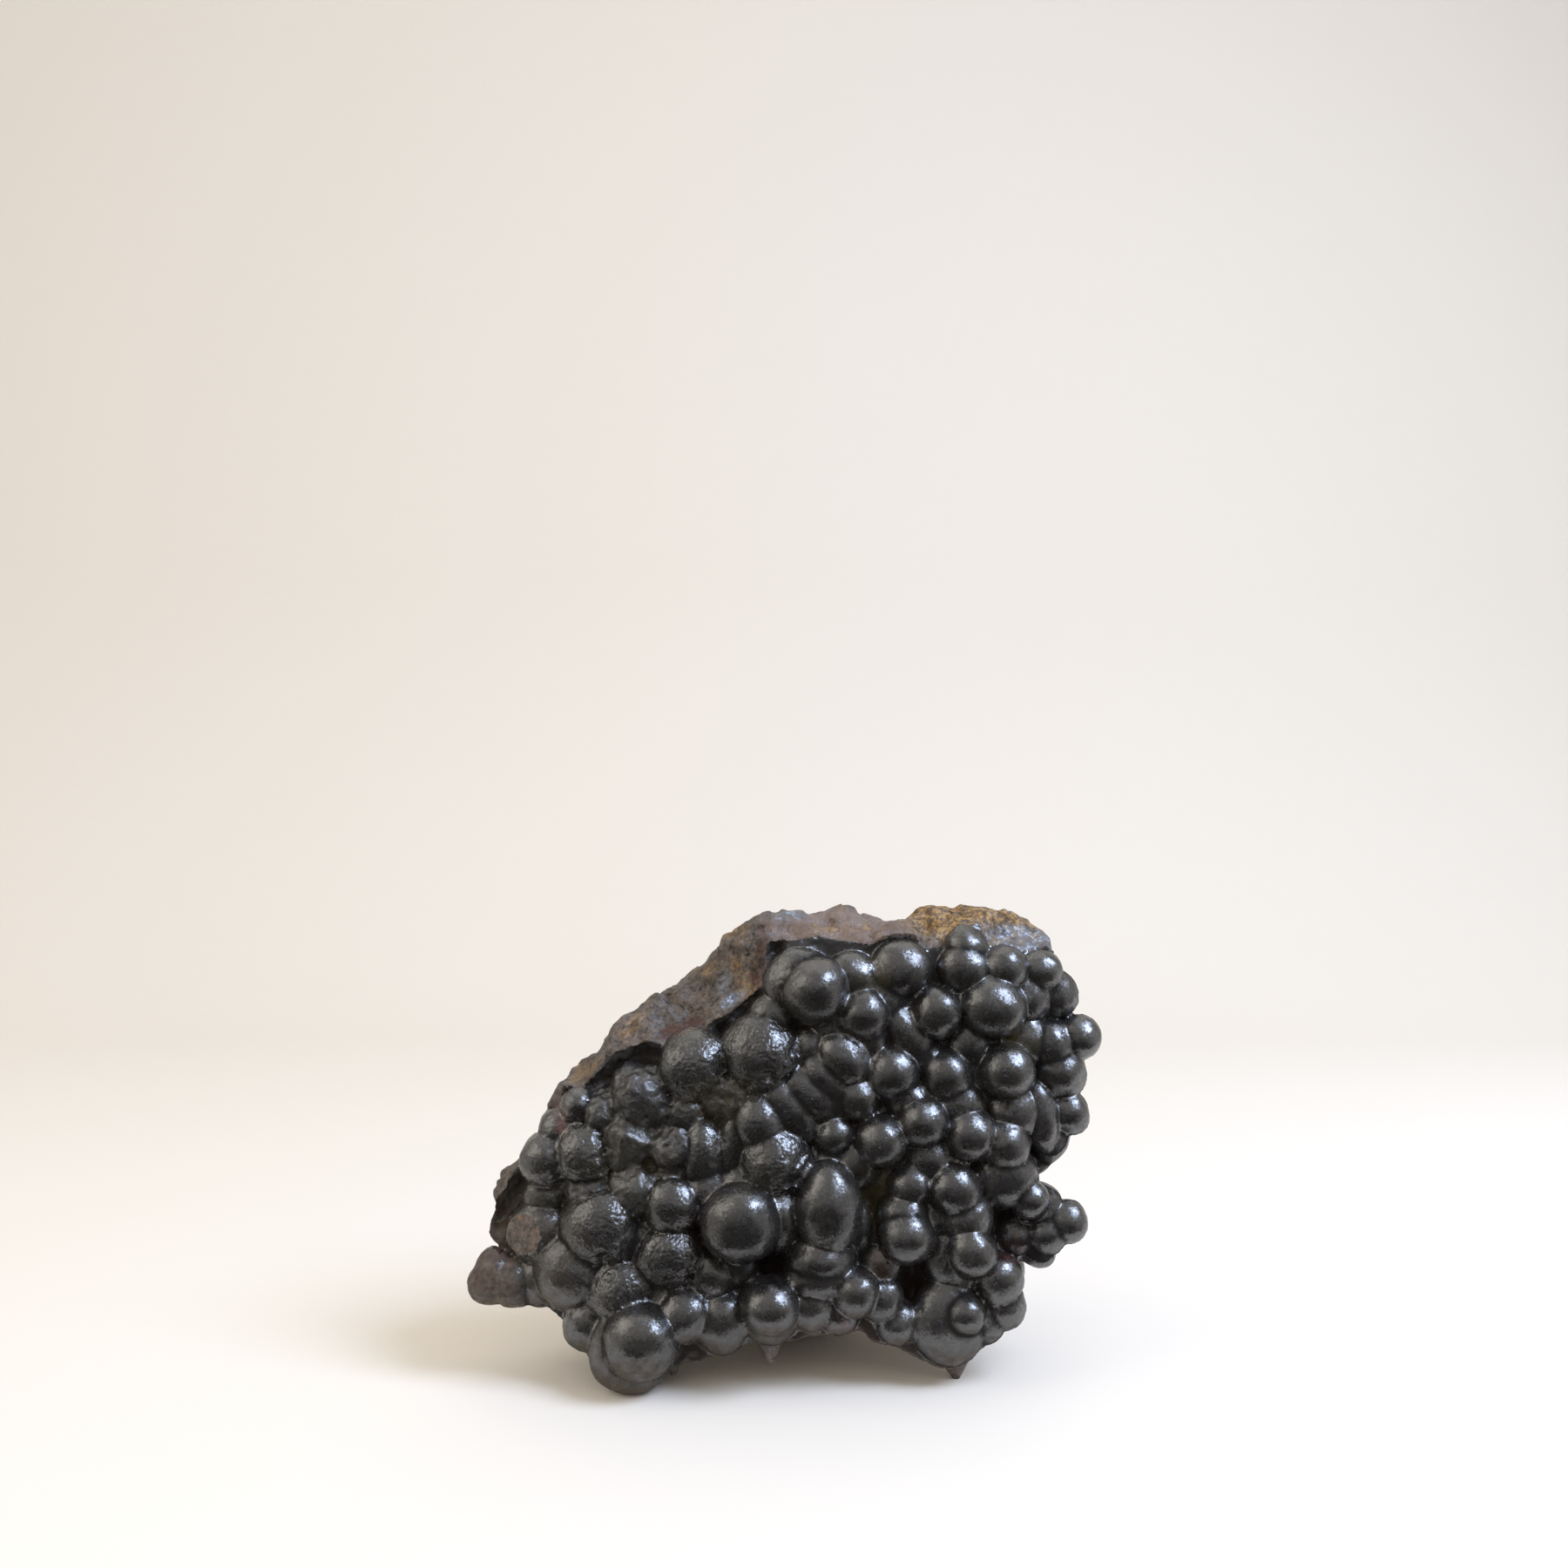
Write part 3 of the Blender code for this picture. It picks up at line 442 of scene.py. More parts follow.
fillet = specimen["filletWidth"]
onPebbled = np.zeros(len(at))
onWorn = np.zeros(len(at))
for turn in range(3):
    nearestGap = np.full(len(at), 1e9)
    pull = np.zeros(len(at))
    direction = np.zeros((len(at), 3))
    for place, root, flat, skin in allLumps:
        place = np.array(place)
        reach = np.abs(place[:3, :3]).sum(axis=1) * root + 1.5
        near = np.flatnonzero((np.abs(at - place[:3, 3]) < reach).all(axis=1))
        gap, straight = fromLump(at[near], place, root, flat)
        weight = np.exp(-np.clip(gap / fillet, -1.5, 30.0))
        pull[near] += weight
        direction[near] += weight[:, None] * straight
        closer = gap < nearestGap[near]
        nearestGap[near[closer]] = gap[closer]
        if turn == 0:
            onPebbled[near[closer]] = skin == "pebbled"
            onWorn[near[closer]] = skin == "worn"
    if turn == 0:
        onLump = np.abs(nearestGap) < specimen["snapWithin"]
    # the ground between the lumps takes part in the fillets where it lies close behind a lump's front
    across, up = seenFrom(at)
    before = 0.8 * (frontDepth(across, up) - at[:, 1])
    weight = np.where(before > 0.0, np.exp(-np.clip(before / fillet, 0.0, 30.0)), 0.0)
    weight[pastEdge(across, up) > -0.5] = 0.0
    pull += weight
    direction[:, 1] -= weight
    move = fillet * np.log(np.maximum(pull, 1e-9))
    # where lumps pull hardest on each other, kept as the mask for painted crease shade
    if turn == 0:
        paintedCreaseShade = smoothStep(np.log(np.maximum(pull, 1.0)), 0.02, 0.26)
    slope = direction / np.maximum(pull, 1e-9)[:, None]
    step = (move / np.maximum((slope**2).sum(axis=1), 0.2))[:, None] * slope
    at[onLump] += np.clip(step, -0.4, 0.4)[onLump]
movePoints(ore, at * mm)
cadNodeLow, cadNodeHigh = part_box("hematite")
shift = (np.array(cadNodeLow) + np.array(cadNodeHigh) - (at.min(axis=0) + at.max(axis=0)) * mm) / 2
shift[2] = 0.0           # the piece stands where the CAD's solid stands
print("on lumps:", int(onLump.sum()))

# What each point belongs to: crust, ground between the lumps, or a broken face
across, up = seenFrom(at)
past = pastEdge(across, up)
behindFront = at[:, 1] - frontDepth(across, up)
broken = np.where(onLump, 0.0, np.maximum(smoothStep(past, -0.1, 0.25), smoothStep(behindFront, 0.6, 1.6)))
ground = np.where(onLump, 0.0, 1.0 - broken)
leftPatch = 1.0 - smoothStep(across - 0.35 * (up - 30.0), -8.0, 0.0)
pebbled = np.maximum(onPebbled, 0.5 * leftPatch * smoothStep(up, 10.0, 16.0)) * onLump
nub = onLump * smoothStep(-across, 32.5, 35.0) * (1.0 - smoothStep(up, 17.0, 20.0))
crumpled = np.maximum(onWorn * onLump, ground * leftPatch * smoothStep(up, 20.0, 26.0))
crumpled = np.maximum(crumpled * (1.0 - nub), 0.4 * nub)
# the pointed growths stay crisp
crisp = np.zeros(len(at))
for wide, tip, radius in points:
    wideEnd, tipEnd = placed(*np.array(wide)), placed(*np.array(tip))
    along = tipEnd - wideEnd
    share = np.clip((at - wideEnd) @ along / (along @ along), 0.0, 1.1)
    away = np.linalg.norm(at - wideEnd - share[:, None] * along, axis=1)
    crisp = np.maximum(crisp, (share > 0.2) * (away < radius * (1.0 - share) + 0.9))
crisp *= ~onLump

# Sharp rims of the broken faces are worn a little, then all gets its unevenness along its own normal
worn = ore.vertex_groups.new(name="worn")
for i in np.flatnonzero((broken > 0.5) & (crisp < 0.5)).tolist():
    worn.add([i], 1.0, "REPLACE")
applyModifier(ore, "SMOOTH", factor=0.5, iterations=3, vertex_group="worn")
ore.vertex_groups.clear()
at = meshPoints(ore) / mm
normals = np.empty(len(at) * 3)
ore.data.vertices.foreach_get("normal", normals)
normals = normals.reshape(-1, 3)
height = np.zeros(len(at))
for spacing, tall in specimen["crustWaves"]:
    height += (1.0 - broken) * tall * noiseAt(at, spacing, 11.0)
rows = np.flatnonzero(crumpled > 0.01)
for spacing, tall in specimen["crumple"]:
    height[rows] += crumpled[rows] * tall * (noiseAt(at[rows], spacing, 3.0) - 0.2)
skin = np.maximum(pebbled, 0.6 * crumpled)
rows = np.flatnonzero(skin > 0.01)
for spacing, tall in specimen["pebbles"]:
    found = [noise.voronoi(row) for row in (at[rows] / spacing).tolist()]
    away = np.array([distances[0] for distances, middles in found])
    size = np.array([noise.noise(middles[0] * 5.3) for distances, middles in found])
    height[rows] += skin[rows] * tall * np.clip(0.5 + 1.6 * size, 0.0, 1.0) * np.exp(-((away / 0.45) ** 2))
# pits gather where the skin faces down and to the right
facing = smoothStep(0.45 * normals[:, 0] - 0.55 * normals[:, 2], -0.05, 0.4)
rows = np.flatnonzero(skin * facing > 0.01)
for spacing, deep in specimen["pits"]:
    cut = smoothStep(noiseAt(at[rows], spacing, 9.0), 0.02, 0.3)
    height[rows] -= skin[rows] * facing[rows] * deep * cut
rows = np.flatnonzero(ground > 0.01)
for spacing, tall in specimen["groundGrit"]:
    height[rows] += ground[rows] * tall * noiseAt(at[rows], spacing, 5.0)
rows = np.flatnonzero(broken > 0.01)
for size, tilt in specimen["chips"]:
    # each chip is a tilted plane about its own middle, and the nearest three share the borders
    found = [noise.voronoi(row) for row in (at[rows] / size).tolist()]
    reach = np.array([distances[:3] for distances, middles in found])
    share = np.exp(-specimen["chipEdge"] * (reach - reach[:, :1]))
    planes = np.zeros(reach.shape)
    for i in range(3):
        middles = np.array([tuple(middles[i]) for distances, middles in found])
        tilts = np.array([tuple(noise.noise_vector(Vector(middle) * 7.31)) for middle in middles.tolist()])
        planes[:, i] = ((at[rows] / size - middles) * tilts).sum(axis=1)
    height[rows] += broken[rows] * tilt * size * (planes * share).sum(axis=1) / share.sum(axis=1)
starts = np.array(fibreStarts)
gapsTo = np.linalg.norm(at[rows, None, :] - starts[None], axis=2)
own = gapsTo.argmin(axis=1)
rays = (at[rows] - starts[own]) / gapsTo.min(axis=1)[:, None]
for count, tall in specimen["fibres"]:
    streak = noiseAt(rays * count / 6.28 + own[:, None] * 3.7 + gapsTo.min(axis=1)[:, None] / 60.0, 1.0)
    height[rows] += broken[rows] * tall * streak
height *= 1.0 - 0.8 * crisp
at = at + normals * height[:, None]
# flat faces at the left edge, where lumps have broken off
across, up = seenFrom(at)
for middleAcross, middleUp, halfAcross, halfUp, atDepth, gainAcross, gainUp in brokenFacets:
    inside = (np.abs(across - middleAcross) < halfAcross) & (np.abs(up - middleUp) < halfUp)
    plane = atDepth + gainAcross * (across - middleAcross) + gainUp * (up - middleUp)
    cut = inside & (at[:, 1] < plane) & (at[:, 1] > plane - 4.0)
    at[cut, 1] = plane[cut]
    broken[cut] = 1.0
movePoints(ore, at * mm)
print("uneven by up to", round(float(np.abs(height).max()), 2), "mm")

# Fewer triangles, then level feet to stand on
tree = kdtree.KDTree(len(at))
for i, row in enumerate(meshPoints(ore).tolist()):
    tree.insert(row, i)
tree.balance()
triangles = sum(len(face.vertices) - 2 for face in ore.data.polygons)
applyModifier(ore, "DECIMATE", ratio=specimen["triangles"] / triangles)
bpy.ops.object.mode_set(mode="EDIT")
bpy.ops.mesh.select_all(action="SELECT")
bpy.ops.mesh.bisect(
    plane_co=(0.0, 0.0, 0.0), plane_no=(0.0, 0.0, 1.0), use_fill=True, clear_inner=True, threshold=0.001 * mm,
)
bpy.ops.mesh.select_all(action="SELECT")
bpy.ops.mesh.quads_convert_to_tris()
bpy.ops.object.mode_set(mode="OBJECT")
kept = meshPoints(ore)
source = np.array([tree.find(row)[1] for row in kept.tolist()])
print("kept:", len(kept), "points,", len(ore.data.polygons), "triangles")

# Where each colour shows, kept on the points for the materials
across, up = seenFrom(kept / mm)
depth = kept[:, 1] / mm


def patch(middleAcross, middleUp, halfAcross, halfUp, lean=0.0, deepest=14.0):
    turn = math.radians(lean)
    x = (across - middleAcross) * math.cos(turn) + (up - middleUp) * math.sin(turn)
    y = (up - middleUp) * math.cos(turn) - (across - middleAcross) * math.sin(turn)
    away = np.sqrt((x / halfAcross) ** 2 + (y / halfUp) ** 2)
    return (1.0 - smoothStep(away, 0.7, 1.25)) * (1.0 - smoothStep(depth, deepest, deepest + 6.0))


brokenKept = broken[source]
ochre = np.max([
    patch(24.5, 60.6, 9.8, 3.6, -6), 0.5 * patch(-9.4, 54.2, 1.4, 0.8, 40), 0.5 * patch(-6.0, 54.6, 0.8, 1.4),
    0.5 * patch(-19.4, 47.0, 2.4, 0.8, 45), 0.4 * patch(-25.4, 41.2, 2.8, 0.7, 35),
    0.8 * patch(-6.0, 6.4, 3.2, 1.3, 10, 20), 0.9 * patch(14.0, 6.0, 5.0, 1.8, -25, 24),
], axis=0)
rust = np.max([
    patch(-13.2, 46.7, 3.6, 0.9, 20), patch(-3.7, 53.0, 0.8, 0.9), patch(-28.6, 35.2, 0.9, 2.6, 10),
    patch(7.4, 8.4, 3.0, 1.0, 0, 20), 0.8 * patch(-36.7, 18.0, 2.0, 1.0, 0), 0.6 * patch(-2.8, 57.0, 0.8, 3.0),
    0.6 * patch(28.9, 18.6, 1.8, 2.4), 0.5 * patch(12.2, 16.8, 1.6, 2.2),
], axis=0)
pink = np.max([patch(6.5, 59.6, 9.0, 2.4), 0.8 * patch(-31.2, 32.4, 2.6, 1.4, 55)], axis=0)
silver = np.max([
    patch(30.4, 58.0, 5.2, 1.7, -12), patch(-6.8, 50.2, 2.0, 0.7, 30), patch(-15.2, 44.4, 1.4, 0.6),
    0.8 * patch(0.8, 61.0, 2.2, 0.8), 0.7 * patch(-7.6, 52.4, 0.9, 1.6, -20),
], axis=0)
# How open each point lies: the share of directions in which nothing of the specimen is near. Closed-in points get
# painted shade.
bpy.context.view_layer.update()
surface = bvhtree.BVHTree.FromObject(ore, bpy.context.evaluated_depsgraph_get())
steps = np.arange(24) + 0.5
upward, turnBy = 1.0 - steps / 12.0, steps * 2.399963
level = np.sqrt(1.0 - upward**2)
around = np.stack([level * np.cos(turnBy), level * np.sin(turnBy), upward], axis=1)
straight = np.empty(len(kept) * 3)
ore.data.vertices.foreach_get("normal", straight)
straight = straight.reshape(-1, 3)
facing = straight @ around.T
starts = (kept + straight * 0.08 * mm).tolist()
reach = specimen["openReach"] * mm
openness = np.zeros(len(kept))
rays = [Vector(row) for row in around.tolist()]
for i, start in enumerate(starts):
    total = free = 0.0
    for j in np.flatnonzero(facing[i] > 0.15).tolist():
        weight = facing[i, j]
        total += weight
        distance = surface.ray_cast(start, rays[j], reach)[3]
        free += weight * (1.0 if distance is None else 0.5 * distance / reach)
    openness[i] = free / max(total, 1e-6)
print("openness from", round(float(openness.min()), 2), "to", round(float(openness.max()), 2),
      "mean", round(float(openness.mean()), 2))
keepOnPoints(ore, "broken", brokenKept)
keepOnPoints(ore, "crumpled", crumpled[source])
keepOnPoints(ore, "pebbled", np.maximum(pebbled, 0.7 * crumpled)[source])
keepOnPoints(ore, "nub", nub[source])
# painted shade in the creases where lumps meet, kept off broken faces and the nub
keepOnPoints(ore, "paintedCreaseShade", (paintedCreaseShade * (1.0 - broken) * (1.0 - nub))[source])
# the lowest lumps turn warm brown, most where they face down: partly earth, partly painted warm light bounced from
# the floor
low = np.maximum(0.15 * (1.0 - smoothStep(up, 8.0, 17.0)), 1.0 - smoothStep(up + 16.0 * straight[:, 2], -2.0, 5.0))
low = np.maximum(low, 0.6 * patch(-31.0, 19.0, 7.0, 9.0))
keepOnPoints(ore, "earthAndFloorBounce", low * (1.0 - brokenKept))
olive = np.max([patch(-8.0, 37.4, 4.6, 3.4), patch(30.6, 45.6, 2.8, 2.4), patch(11.4, 53.6, 3.0, 2.4),
                0.7 * patch(-20.0, 30.0, 6.0, 5.0), 0.6 * patch(12.0, 25.0, 3.0, 3.6)], axis=0)
keepOnPoints(ore, "olive", olive)
# hollows: painted shade where the specimen closes round a point, plus dust on the ground between the lumps
keepOnPoints(ore, "hollowDustAndShade", np.maximum(1.0 - openness, 0.7 * ground[source]))
keepOnPoints(ore, "ochre", ochre)
keepOnPoints(ore, "rust", rust)
keepOnPoints(ore, "pink", pink)
keepOnPoints(ore, "silver", silver)

movePoints(ore, kept + shift)
print("shifted by", [round(float(v) / mm, 3) for v in shift], "mm")

# Looks of the crust and of the broken ore
looks = {
    "crustDark": "#0d0c0c",      # fresh grey-black skin
    "crustWarm": "#1f1c18",      # slightly browner patches of it
    "dustOliveAndShade": "#1d1a15",      # earth left in the hollows, darkened further as painted shade
    "dustRedAndShade": "#1c110d",
    "wornSkin": "#2b2825",       # crumpled skin, duller than the rest
    # warm brown of the lowest lumps: partly earth, partly painted bounce light from the floor
    "mattEarthAndPaintedLight": "#4d4034",
    "earthOliveAndBounce": "#45423a",
    # painted shade: near black in the creases where lumps meet
    "paintedCreaseShade": "#0c0a09",
    "olive": "#3f381f",
    "nub": "#63544a",
    "nubDark": "#3c332c",
    "brokenGrey": "#695f56",     # fibrous fracture, greyish brown
    "brokenDark": "#2c2622",
    "pink": "#76655c",
    "ochre": "#a3824f",
    "ochreDark": "#553c22",
    "rust": "#4a2115",
    "silver": "#80848b",
    "crustRough": (0.2, 0.36),
    "brokenRough": (0.42, 0.74),
    "hematiteIor": 2.25,
    "crustGrain": (0.02, 0.035),         # height in mm of its finest and of its wider unevenness
    "crustCrystals": (0.24, 0.14),       # size in mm and tilt of the tiny crystal faces in it
    "pebbleBumps": (0.5, 0.12),          # spacing and height in mm of the finest bumps on pebbled skin
    "brokenGrain": (0.07, 0.09),
    "brokenChips": ((1.3, 0.66), (0.45, 0.6)),
}


def oreMaterial(name, mainKind):
    # Hematite. Grown skin: satin, nearly metallic, because its refractive index is close to 3. Broken faces:
    # fibrous and earthier, with iron ochre and rust where water got in.
    material, tree = newMaterial(name)
    coords = addNode(tree, "ShaderNodeTexCoord").outputs["Object"]
    output = addNode(tree, "ShaderNodeOutputMaterial")

    def texture(spacing, detail=2.0, rough=0.5):
        # spacing is in millimetres from one swell of the pattern to the next
        return addNode(tree, "ShaderNodeTexNoise", None, {
            "Vector": coords, "Scale": 1.0 / (spacing * mm), "Detail": detail, "Roughness": rough,
        }).outputs["Fac"]

    def between(value, low, high, to=(0.0, 1.0)):
        return addNode(tree, "ShaderNodeMapRange", {"clamp": True}, {
            "Value": value, "From Min": low, "From Max": high, "To Min": to[0], "To Max": to[1],
        }).outputs["Result"]

    def calc(operation, a, b):
        return addNode(tree, "ShaderNodeMath", {"operation": operation, "use_clamp": True}, {0: a, 1: b}).outputs[0]

    def blend(share, a, b):
        return addNode(tree, "ShaderNodeMix", {"data_type": "RGBA"}, {0: share, 6: a, 7: b}).outputs[2]

    def kept(layer):
        return addNode(tree, "ShaderNodeAttribute", {"attribute_name": layer}).outputs["Fac"]

    def plus(*heights):
        total = heights[0]
        for value in heights[1:]:
            total = addNode(tree, "ShaderNodeMath", {"operation": "ADD"}, {0: total, 1: value}).outputs[0]
        return total

    def times(a, b):
        return addNode(tree, "ShaderNodeMath", {"operation": "MULTIPLY"}, {0: a, 1: b}).outputs[0]

    def vector(operation, a, b):
        return addNode(tree, "ShaderNodeVectorMath", {"operation": operation}, {0: a, 1: b})

    def flats(size, tilt):
        # small flat faces, each tilted its own way about its own middle; gives a height in metres
        cells = addNode(tree, "ShaderNodeTexVoronoi", None, {"Vector": coords, "Scale": 1.0 / (size * mm)})
        leaning = vector("SUBTRACT", cells.outputs["Color"], (0.5, 0.5, 0.5)).outputs[0]
        offset = vector("SUBTRACT", coords, cells.outputs["Position"]).outputs[0]
        return times(vector("DOT_PRODUCT", leaning, offset).outputs["Value"], tilt)

    def bumped(height):
        return addNode(tree, "ShaderNodeBump", None, {"Strength": 1.0, "Distance": 1.0, "Height": height}).outputs[0]

    grain = texture(0.22, 3.0, 0.6)
    mottle = texture(1.3, 4.0, 0.6)
    wide = texture(7.0, 2.0, 0.5)
    if mainKind == "crust":
        colour = blend(between(wide, 0.35, 0.68), linear(looks["crustDark"]), linear(looks["crustWarm"]))
        colour = blend(between(mottle, 0.45, 0.75, (0.0, 0.5)), colour, linear(looks["crustWarm"]))
        mattColourDustAndShade = blend(between(texture(9.0), 0.42, 0.6), linear(looks["dustOliveAndShade"]), linear(looks["dustRedAndShade"]))
        # painted shade: where little of the room reaches, the skin turns dark and matt; dust lies there too
        mattShareDustAndShade = between(kept("hollowDustAndShade"), 0.38, 0.72)
        mattShareDustAndShade = calc("MULTIPLY", mattShareDustAndShade, between(mottle, 0.25, 0.6, (0.75, 1.0)))
        mattShareDustAndShade = calc("MAXIMUM", mattShareDustAndShade, calc("MULTIPLY", kept("crumpled"), between(mottle, 0.4, 0.7, (0.1, 0.6))))
        mattColourDustAndShade = blend(kept("crumpled"), mattColourDustAndShade, linear(looks["wornSkin"]))
        mattColourDustAndShade = blend(kept("olive"), mattColourDustAndShade, linear(looks["olive"]))
        earthAndBounceTone = blend(between(texture(4.0), 0.4, 0.6), linear(looks["mattEarthAndPaintedLight"]), linear(looks["earthOliveAndBounce"]))
        # the lowest lumps turn warm brown: partly earth, partly painted bounce light from the floor
        mattColourDustAndShade = blend(kept("earthAndFloorBounce"), mattColourDustAndShade, earthAndBounceTone)
        nubSkin = blend(between(texture(0.8, 3.0), 0.35, 0.65), linear(looks["nubDark"]), linear(looks["nub"]))
        mattColourDustAndShade = blend(kept("nub"), mattColourDustAndShade, nubSkin)
        # painted shade: the creases where lumps meet go near black and matt
        mattColourDustAndShade = blend(calc("MULTIPLY", kept("paintedCreaseShade"), 0.85), mattColourDustAndShade, linear(looks["paintedCreaseShade"]))
        mattShareDustAndShade = calc("MAXIMUM", mattShareDustAndShade, calc("MULTIPLY", kept("earthAndFloorBounce"), between(mottle, 0.3, 0.7, (0.3, 0.95))))
        mattShareDustAndShade = calc("MAXIMUM", mattShareDustAndShade, kept("paintedCreaseShade"))
        mattShareDustAndShade = calc("MAXIMUM", mattShareDustAndShade, calc("MULTIPLY", kept("olive"), between(mottle, 0.4, 0.7, (0.0, 0.8))))
        mattShareDustAndShade = calc("MAXIMUM", mattShareDustAndShade, calc("MULTIPLY", kept("nub"), 0.75))
        rusty = calc("MULTIPLY", kept("rust"), between(mottle, 0.35, 0.6))
        colour = blend(rusty, colour, linear(looks["rust"]))
        rough = between(mottle, 0.3, 0.75, looks["crustRough"])
        rough = calc("ADD", rough, between(kept("crumpled"), 0.0, 1.0, (0.0, 0.12)))
        fine, wider = looks["crustGrain"]
        spacing, tall = looks["pebbleBumps"]
        pebble = addNode(tree, "ShaderNodeTexVoronoi", {"feature": "SMOOTH_F1"}, {
            "Vector": coords, "Scale": 1.0 / (spacing * mm), "Smoothness": 0.7,
        }).outputs["Distance"]
        bump = bumped(plus(
            times(grain, fine * mm), times(texture(0.7), wider * mm), flats(*looks["crustCrystals"]),
            times(times(pebble, calc("MULTIPLY", kept("pebbled"), between(mottle, 0.35, 0.6, (0.35, 1.0)))), -tall * mm),
        ))
        ior, metallic = looks["hematiteIor"], 0.0
    else:
        def fibresFrom(start, count):
            middle = [v * mm + s for v, s in zip(start, shift)]
            ray = vector("SUBTRACT", coords, middle).outputs[0]
            ray = addNode(tree, "ShaderNodeVectorMath", {"operation": "NORMALIZE"}, {0: ray}).outputs[0]
            return addNode(tree, "ShaderNodeTexNoise", None, {
                "Vector": ray, "Scale": count, "Detail": 4.0, "Roughness": 0.65,
            }).outputs["Fac"]

        fibre = fibresFrom(fibreStarts[1], 46.0)
        golden = fibresFrom(fibreStarts[2], 58.0)
        speckle = plus(times(fibre, 0.42), times(texture(0.4, 3.0, 0.75), 0.38), times(mottle, 0.2))
        colour = blend(between(speckle, 0.42, 0.58), linear(looks["brokenDark"]), linear(looks["brokenGrey"]))
        colour = blend(calc("MULTIPLY", between(wide, 0.45, 0.7, (0.0, 0.6)), between(speckle, 0.4, 0.55)),
                       colour, linear(looks["pink"]))
        colour = blend(calc("MULTIPLY", kept("pink"), between(mottle, 0.2, 0.6, (0.5, 1.0))),
                       colour, linear(looks["pink"]))
        gold = blend(between(golden, 0.42, 0.58), linear(looks["ochreDark"]), linear(looks["ochre"]))
        # ochre also sits in scattered spots all over the back
        spots = calc("MULTIPLY", between(texture(5.0, 5.0, 0.6), 0.56, 0.68), 0.6)
        stained = calc("MULTIPLY", kept("ochre"), between(golden, 0.34, 0.5, (0.35, 1.0)))
        colour = blend(calc("MAXIMUM", stained, spots), colour, gold)
        rusty = calc("MULTIPLY", kept("rust"), between(speckle, 0.44, 0.54))
        spots = calc("MULTIPLY", between(texture(6.4, 5.0, 0.6), 0.6, 0.7), 0.7)
        colour = blend(calc("MAXIMUM", rusty, spots), colour, linear(looks["rust"]))
        shine = calc("MULTIPLY", kept("silver"), between(fibre, 0.3, 0.55))
        colour = blend(shine, colour, linear(looks["silver"]))
        rough = between(fibre, 0.3, 0.7, looks["brokenRough"])
        rough = calc("SUBTRACT", rough, calc("MULTIPLY", shine, 0.28))
        fine, wider = looks["brokenGrain"]
        chips = [flats(size, tilt) for size, tilt in looks["brokenChips"]]
        bump = bumped(plus(times(fibre, wider * mm), times(golden, wider * mm), times(grain, fine * mm), *chips))
        ior, metallic = 1.65, calc("MULTIPLY", shine, 0.6)
    shader = addNode(tree, "ShaderNodeBsdfPrincipled", None, {
        "Base Color": colour, "Roughness": rough, "Metallic": metallic, "IOR": ior, "Normal": bump,
    })
    if mainKind == "crust":
        mattEarthAndPaintedLight = addNode(tree, "ShaderNodeBsdfPrincipled", None, {
            "Base Color": mattColourDustAndShade, "Roughness": 0.9, "IOR": 1.45, "Normal": bump,
        })
        shader = addNode(tree, "ShaderNodeMixShader", None, {0: mattShareDustAndShade, 1: shader.outputs[0], 2: mattEarthAndPaintedLight.outputs[0]})
    tree.links.new(shader.outputs[0], output.inputs[0])
    return material


ore.data.materials.clear()
ore.data.materials.append(oreMaterial("hematite_grown_crust_satin", "crust"))
ore.data.materials.append(oreMaterial("hematite_broken_fibrous", "broken"))
corners = np.empty(len(ore.data.loops), dtype=np.int64)
ore.data.loops.foreach_get("vertex_index", corners)
faceBroken = brokenKept[corners].reshape(-1, 3).mean(axis=1) > 0.5
ore.data.polygons.foreach_set("material_index", faceBroken.astype(np.int32))
ore.data.update()
pickOnly(ore)
bpy.ops.object.shade_smooth_by_angle(angle=math.radians(42.0))
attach(ore, "root")
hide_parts("hematite")
print("specimen finished")

# A pale floor that sweeps up behind. The part of it in front of the specimen isn't mirrored in the lumps, as
# the real sheet ends there.
studio = {
    "floor": "#ebe5db", "reach": 900.0, "sheetFront": -14.0, "wallAt": 420.0, "wallHeight": 700.0,
    "sweep": 160.0, "sweepSteps": 16,
    "room": "#dcd8d2", "dark": "#0e0c0b", "backdrop": "#f3efe8", "roomLight": 0.78,
}
paper, tree = newMaterial("studio_paper_matt")
shader = addNode(tree, "ShaderNodeBsdfPrincipled", None, {"Base Color": linear(studio["floor"]), "Roughness": 0.9})
tree.links.new(shader.outputs[0], addNode(tree, "ShaderNodeOutputMaterial").inputs[0])


def floorPart(name, nearEnd, farEnd):
    bpy.ops.object.select_all(action="DESELECT")
    bpy.ops.mesh.primitive_plane_add(size=2.0 * mm)
    part = bpy.context.object
    part.name = part.data.name = name
    for vertex in part.data.vertices:
        vertex.co.x *= studio["reach"]
        vertex.co.y = (farEnd if vertex.co.y > 0 else nearEnd) * mm
    part.data.materials.append(paper)
    return part


def farEdges(part):
    for edge in part.data.edges:
        ends = [part.data.vertices[i].co for i in edge.vertices]
        edge.select = all(abs(v.y - studio["wallAt"] * mm) < mm and abs(v.z) < mm for v in ends)
    bpy.ops.object.mode_set(mode="EDIT")


sheetFront = studio["sheetFront"] + float(shift[1]) / mm
front = floorPart("studio_floor_front", -studio["reach"], sheetFront)
front.visible_glossy = False
floor = floorPart("studio_floor", sheetFront, studio["wallAt"])
bpy.ops.object.mode_set(mode="EDIT")
bpy.ops.mesh.select_mode(type="EDGE")
bpy.ops.mesh.select_all(action="DESELECT")
bpy.ops.object.mode_set(mode="OBJECT")
farEdges(floor)
bpy.ops.mesh.extrude_region_move(TRANSFORM_OT_translate={"value": (0.0, 0.0, studio["wallHeight"] * mm)})
bpy.ops.object.mode_set(mode="OBJECT")
farEdges(floor)
bpy.ops.mesh.bevel(offset=studio["sweep"] * mm, segments=studio["sweepSteps"])
bpy.ops.object.mode_set(mode="OBJECT")
bpy.ops.object.shade_smooth()

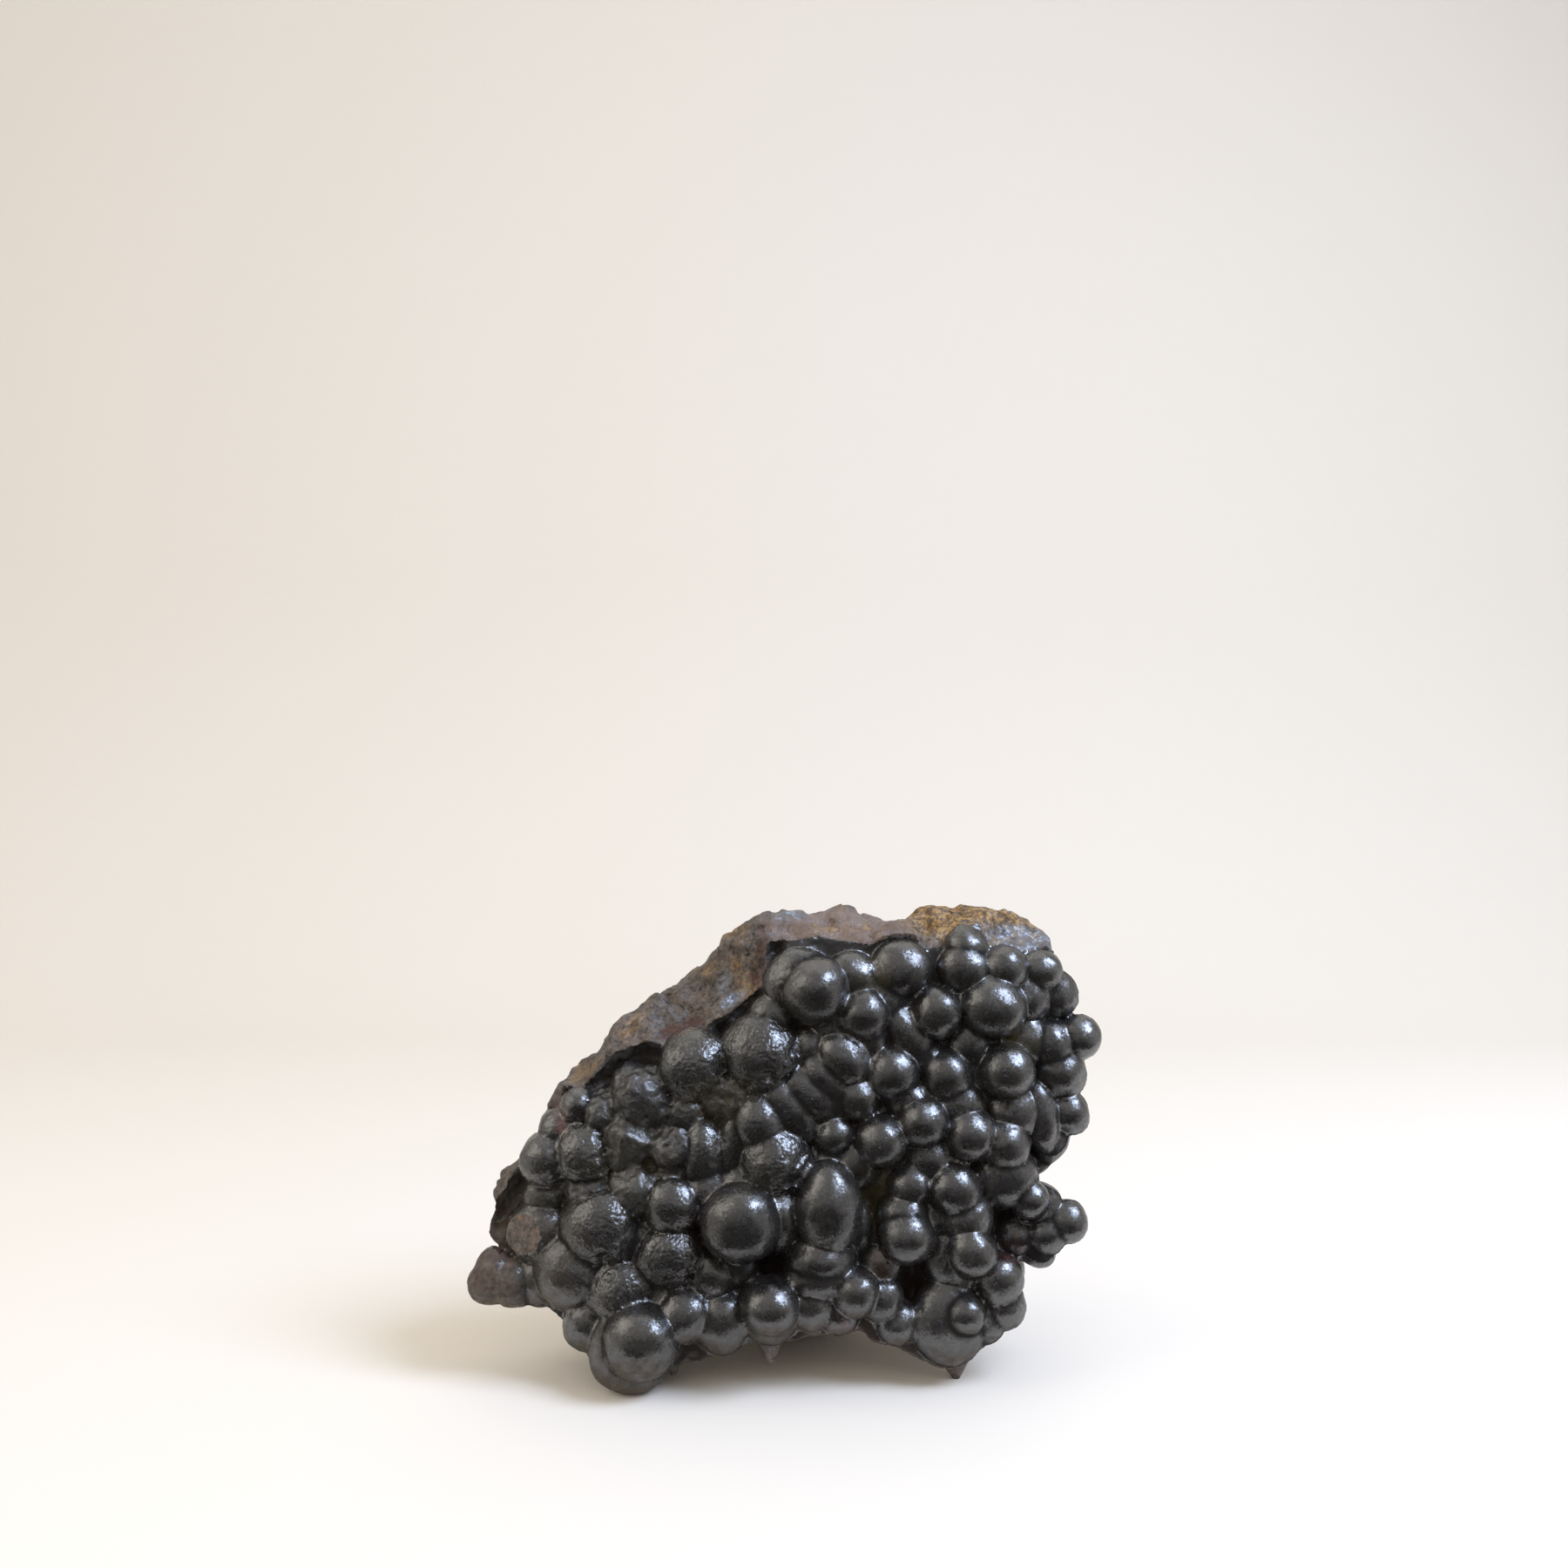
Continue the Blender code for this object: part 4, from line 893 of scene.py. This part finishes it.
# Light: a soft window up on the right, weak fill from the left, soft light from above
lights = (
    # name, place in mm, width, height, watts, colour, mirrored in the lumps
    ("window", (330, -150, 400), 230, 250, 2.8, "#cfe0ff", True),
    ("fill", (-520, -160, 420), 500, 500, 1.1, "#fff6ea", True),
    ("over", (0, 200, 700), 700, 500, 0.66, "#fffaf2", True),
    ("front", (-80, -520, 260), 600, 400, 0.8, "#fff6ea", False),
)
for name, place, width, tall, watts, colour, mirrored in lights:
    bpy.ops.object.light_add(type="AREA", location=Vector(place) * mm)
    lamp = bpy.context.object
    lamp.name = name
    lamp.data.shape = "RECTANGLE"
    lamp.data.size = width * mm
    lamp.data.size_y = tall * mm
    lamp.data.energy = watts
    lamp.data.color = linear(colour)[:3]
    lamp.visible_glossy = mirrored
    lamp.rotation_euler = (Vector((0.0, 0.0, 30.0)) - Vector(place)).to_track_quat("-Z", "Y").to_euler()

# The room: pale all round, but dark where the viewer stands, which the lumps mirror in their middles
world = bpy.data.worlds.new("studio")
world.use_nodes = True
tree = world.node_tree
tree.nodes.clear()
toward = addNode(tree, "ShaderNodeTexCoord").outputs["Generated"]
facing = addNode(tree, "ShaderNodeVectorMath", {"operation": "DOT_PRODUCT"}, {0: toward, 1: (0.0, -0.76, -0.65)}).outputs["Value"]
darker = addNode(tree, "ShaderNodeMapRange", {"interpolation_type": "SMOOTHSTEP"}, {"Value": facing, "From Min": 0.2, "From Max": 0.84}).outputs["Result"]
room = addNode(tree, "ShaderNodeMix", {"data_type": "RGBA"}, {0: darker, 6: linear(studio["room"]), 7: linear(studio["dark"])}).outputs[2]
seen = addNode(tree, "ShaderNodeLightPath").outputs["Is Camera Ray"]
shown = addNode(tree, "ShaderNodeMix", {"data_type": "RGBA"}, {0: seen, 6: room, 7: linear(studio["backdrop"])}).outputs[2]
glow = addNode(tree, "ShaderNodeBackground", None, {"Color": shown, "Strength": studio["roomLight"]})
tree.links.new(glow.outputs[0], addNode(tree, "ShaderNodeOutputWorld").inputs[0])
bpy.context.scene.world = world
bpy.context.scene.view_settings.view_transform = "Standard"

# The camera: level, at the photograph's place
camera = {"lens": 36.0, "sensor": 36.0}
bpy.ops.object.camera_add(
    location=(shift[0], -specimen["viewDistance"] * mm + shift[1], specimen["eyeHeight"] * mm),
    rotation=(math.radians(90.0), 0.0, 0.0),
)
eye = bpy.context.object
eye.data.lens = camera["lens"]
eye.data.sensor_width = camera["sensor"]
eye.data.clip_start = 0.01
eye.data.clip_end = 10.0
bpy.context.scene.camera = eye
print("studio ready")
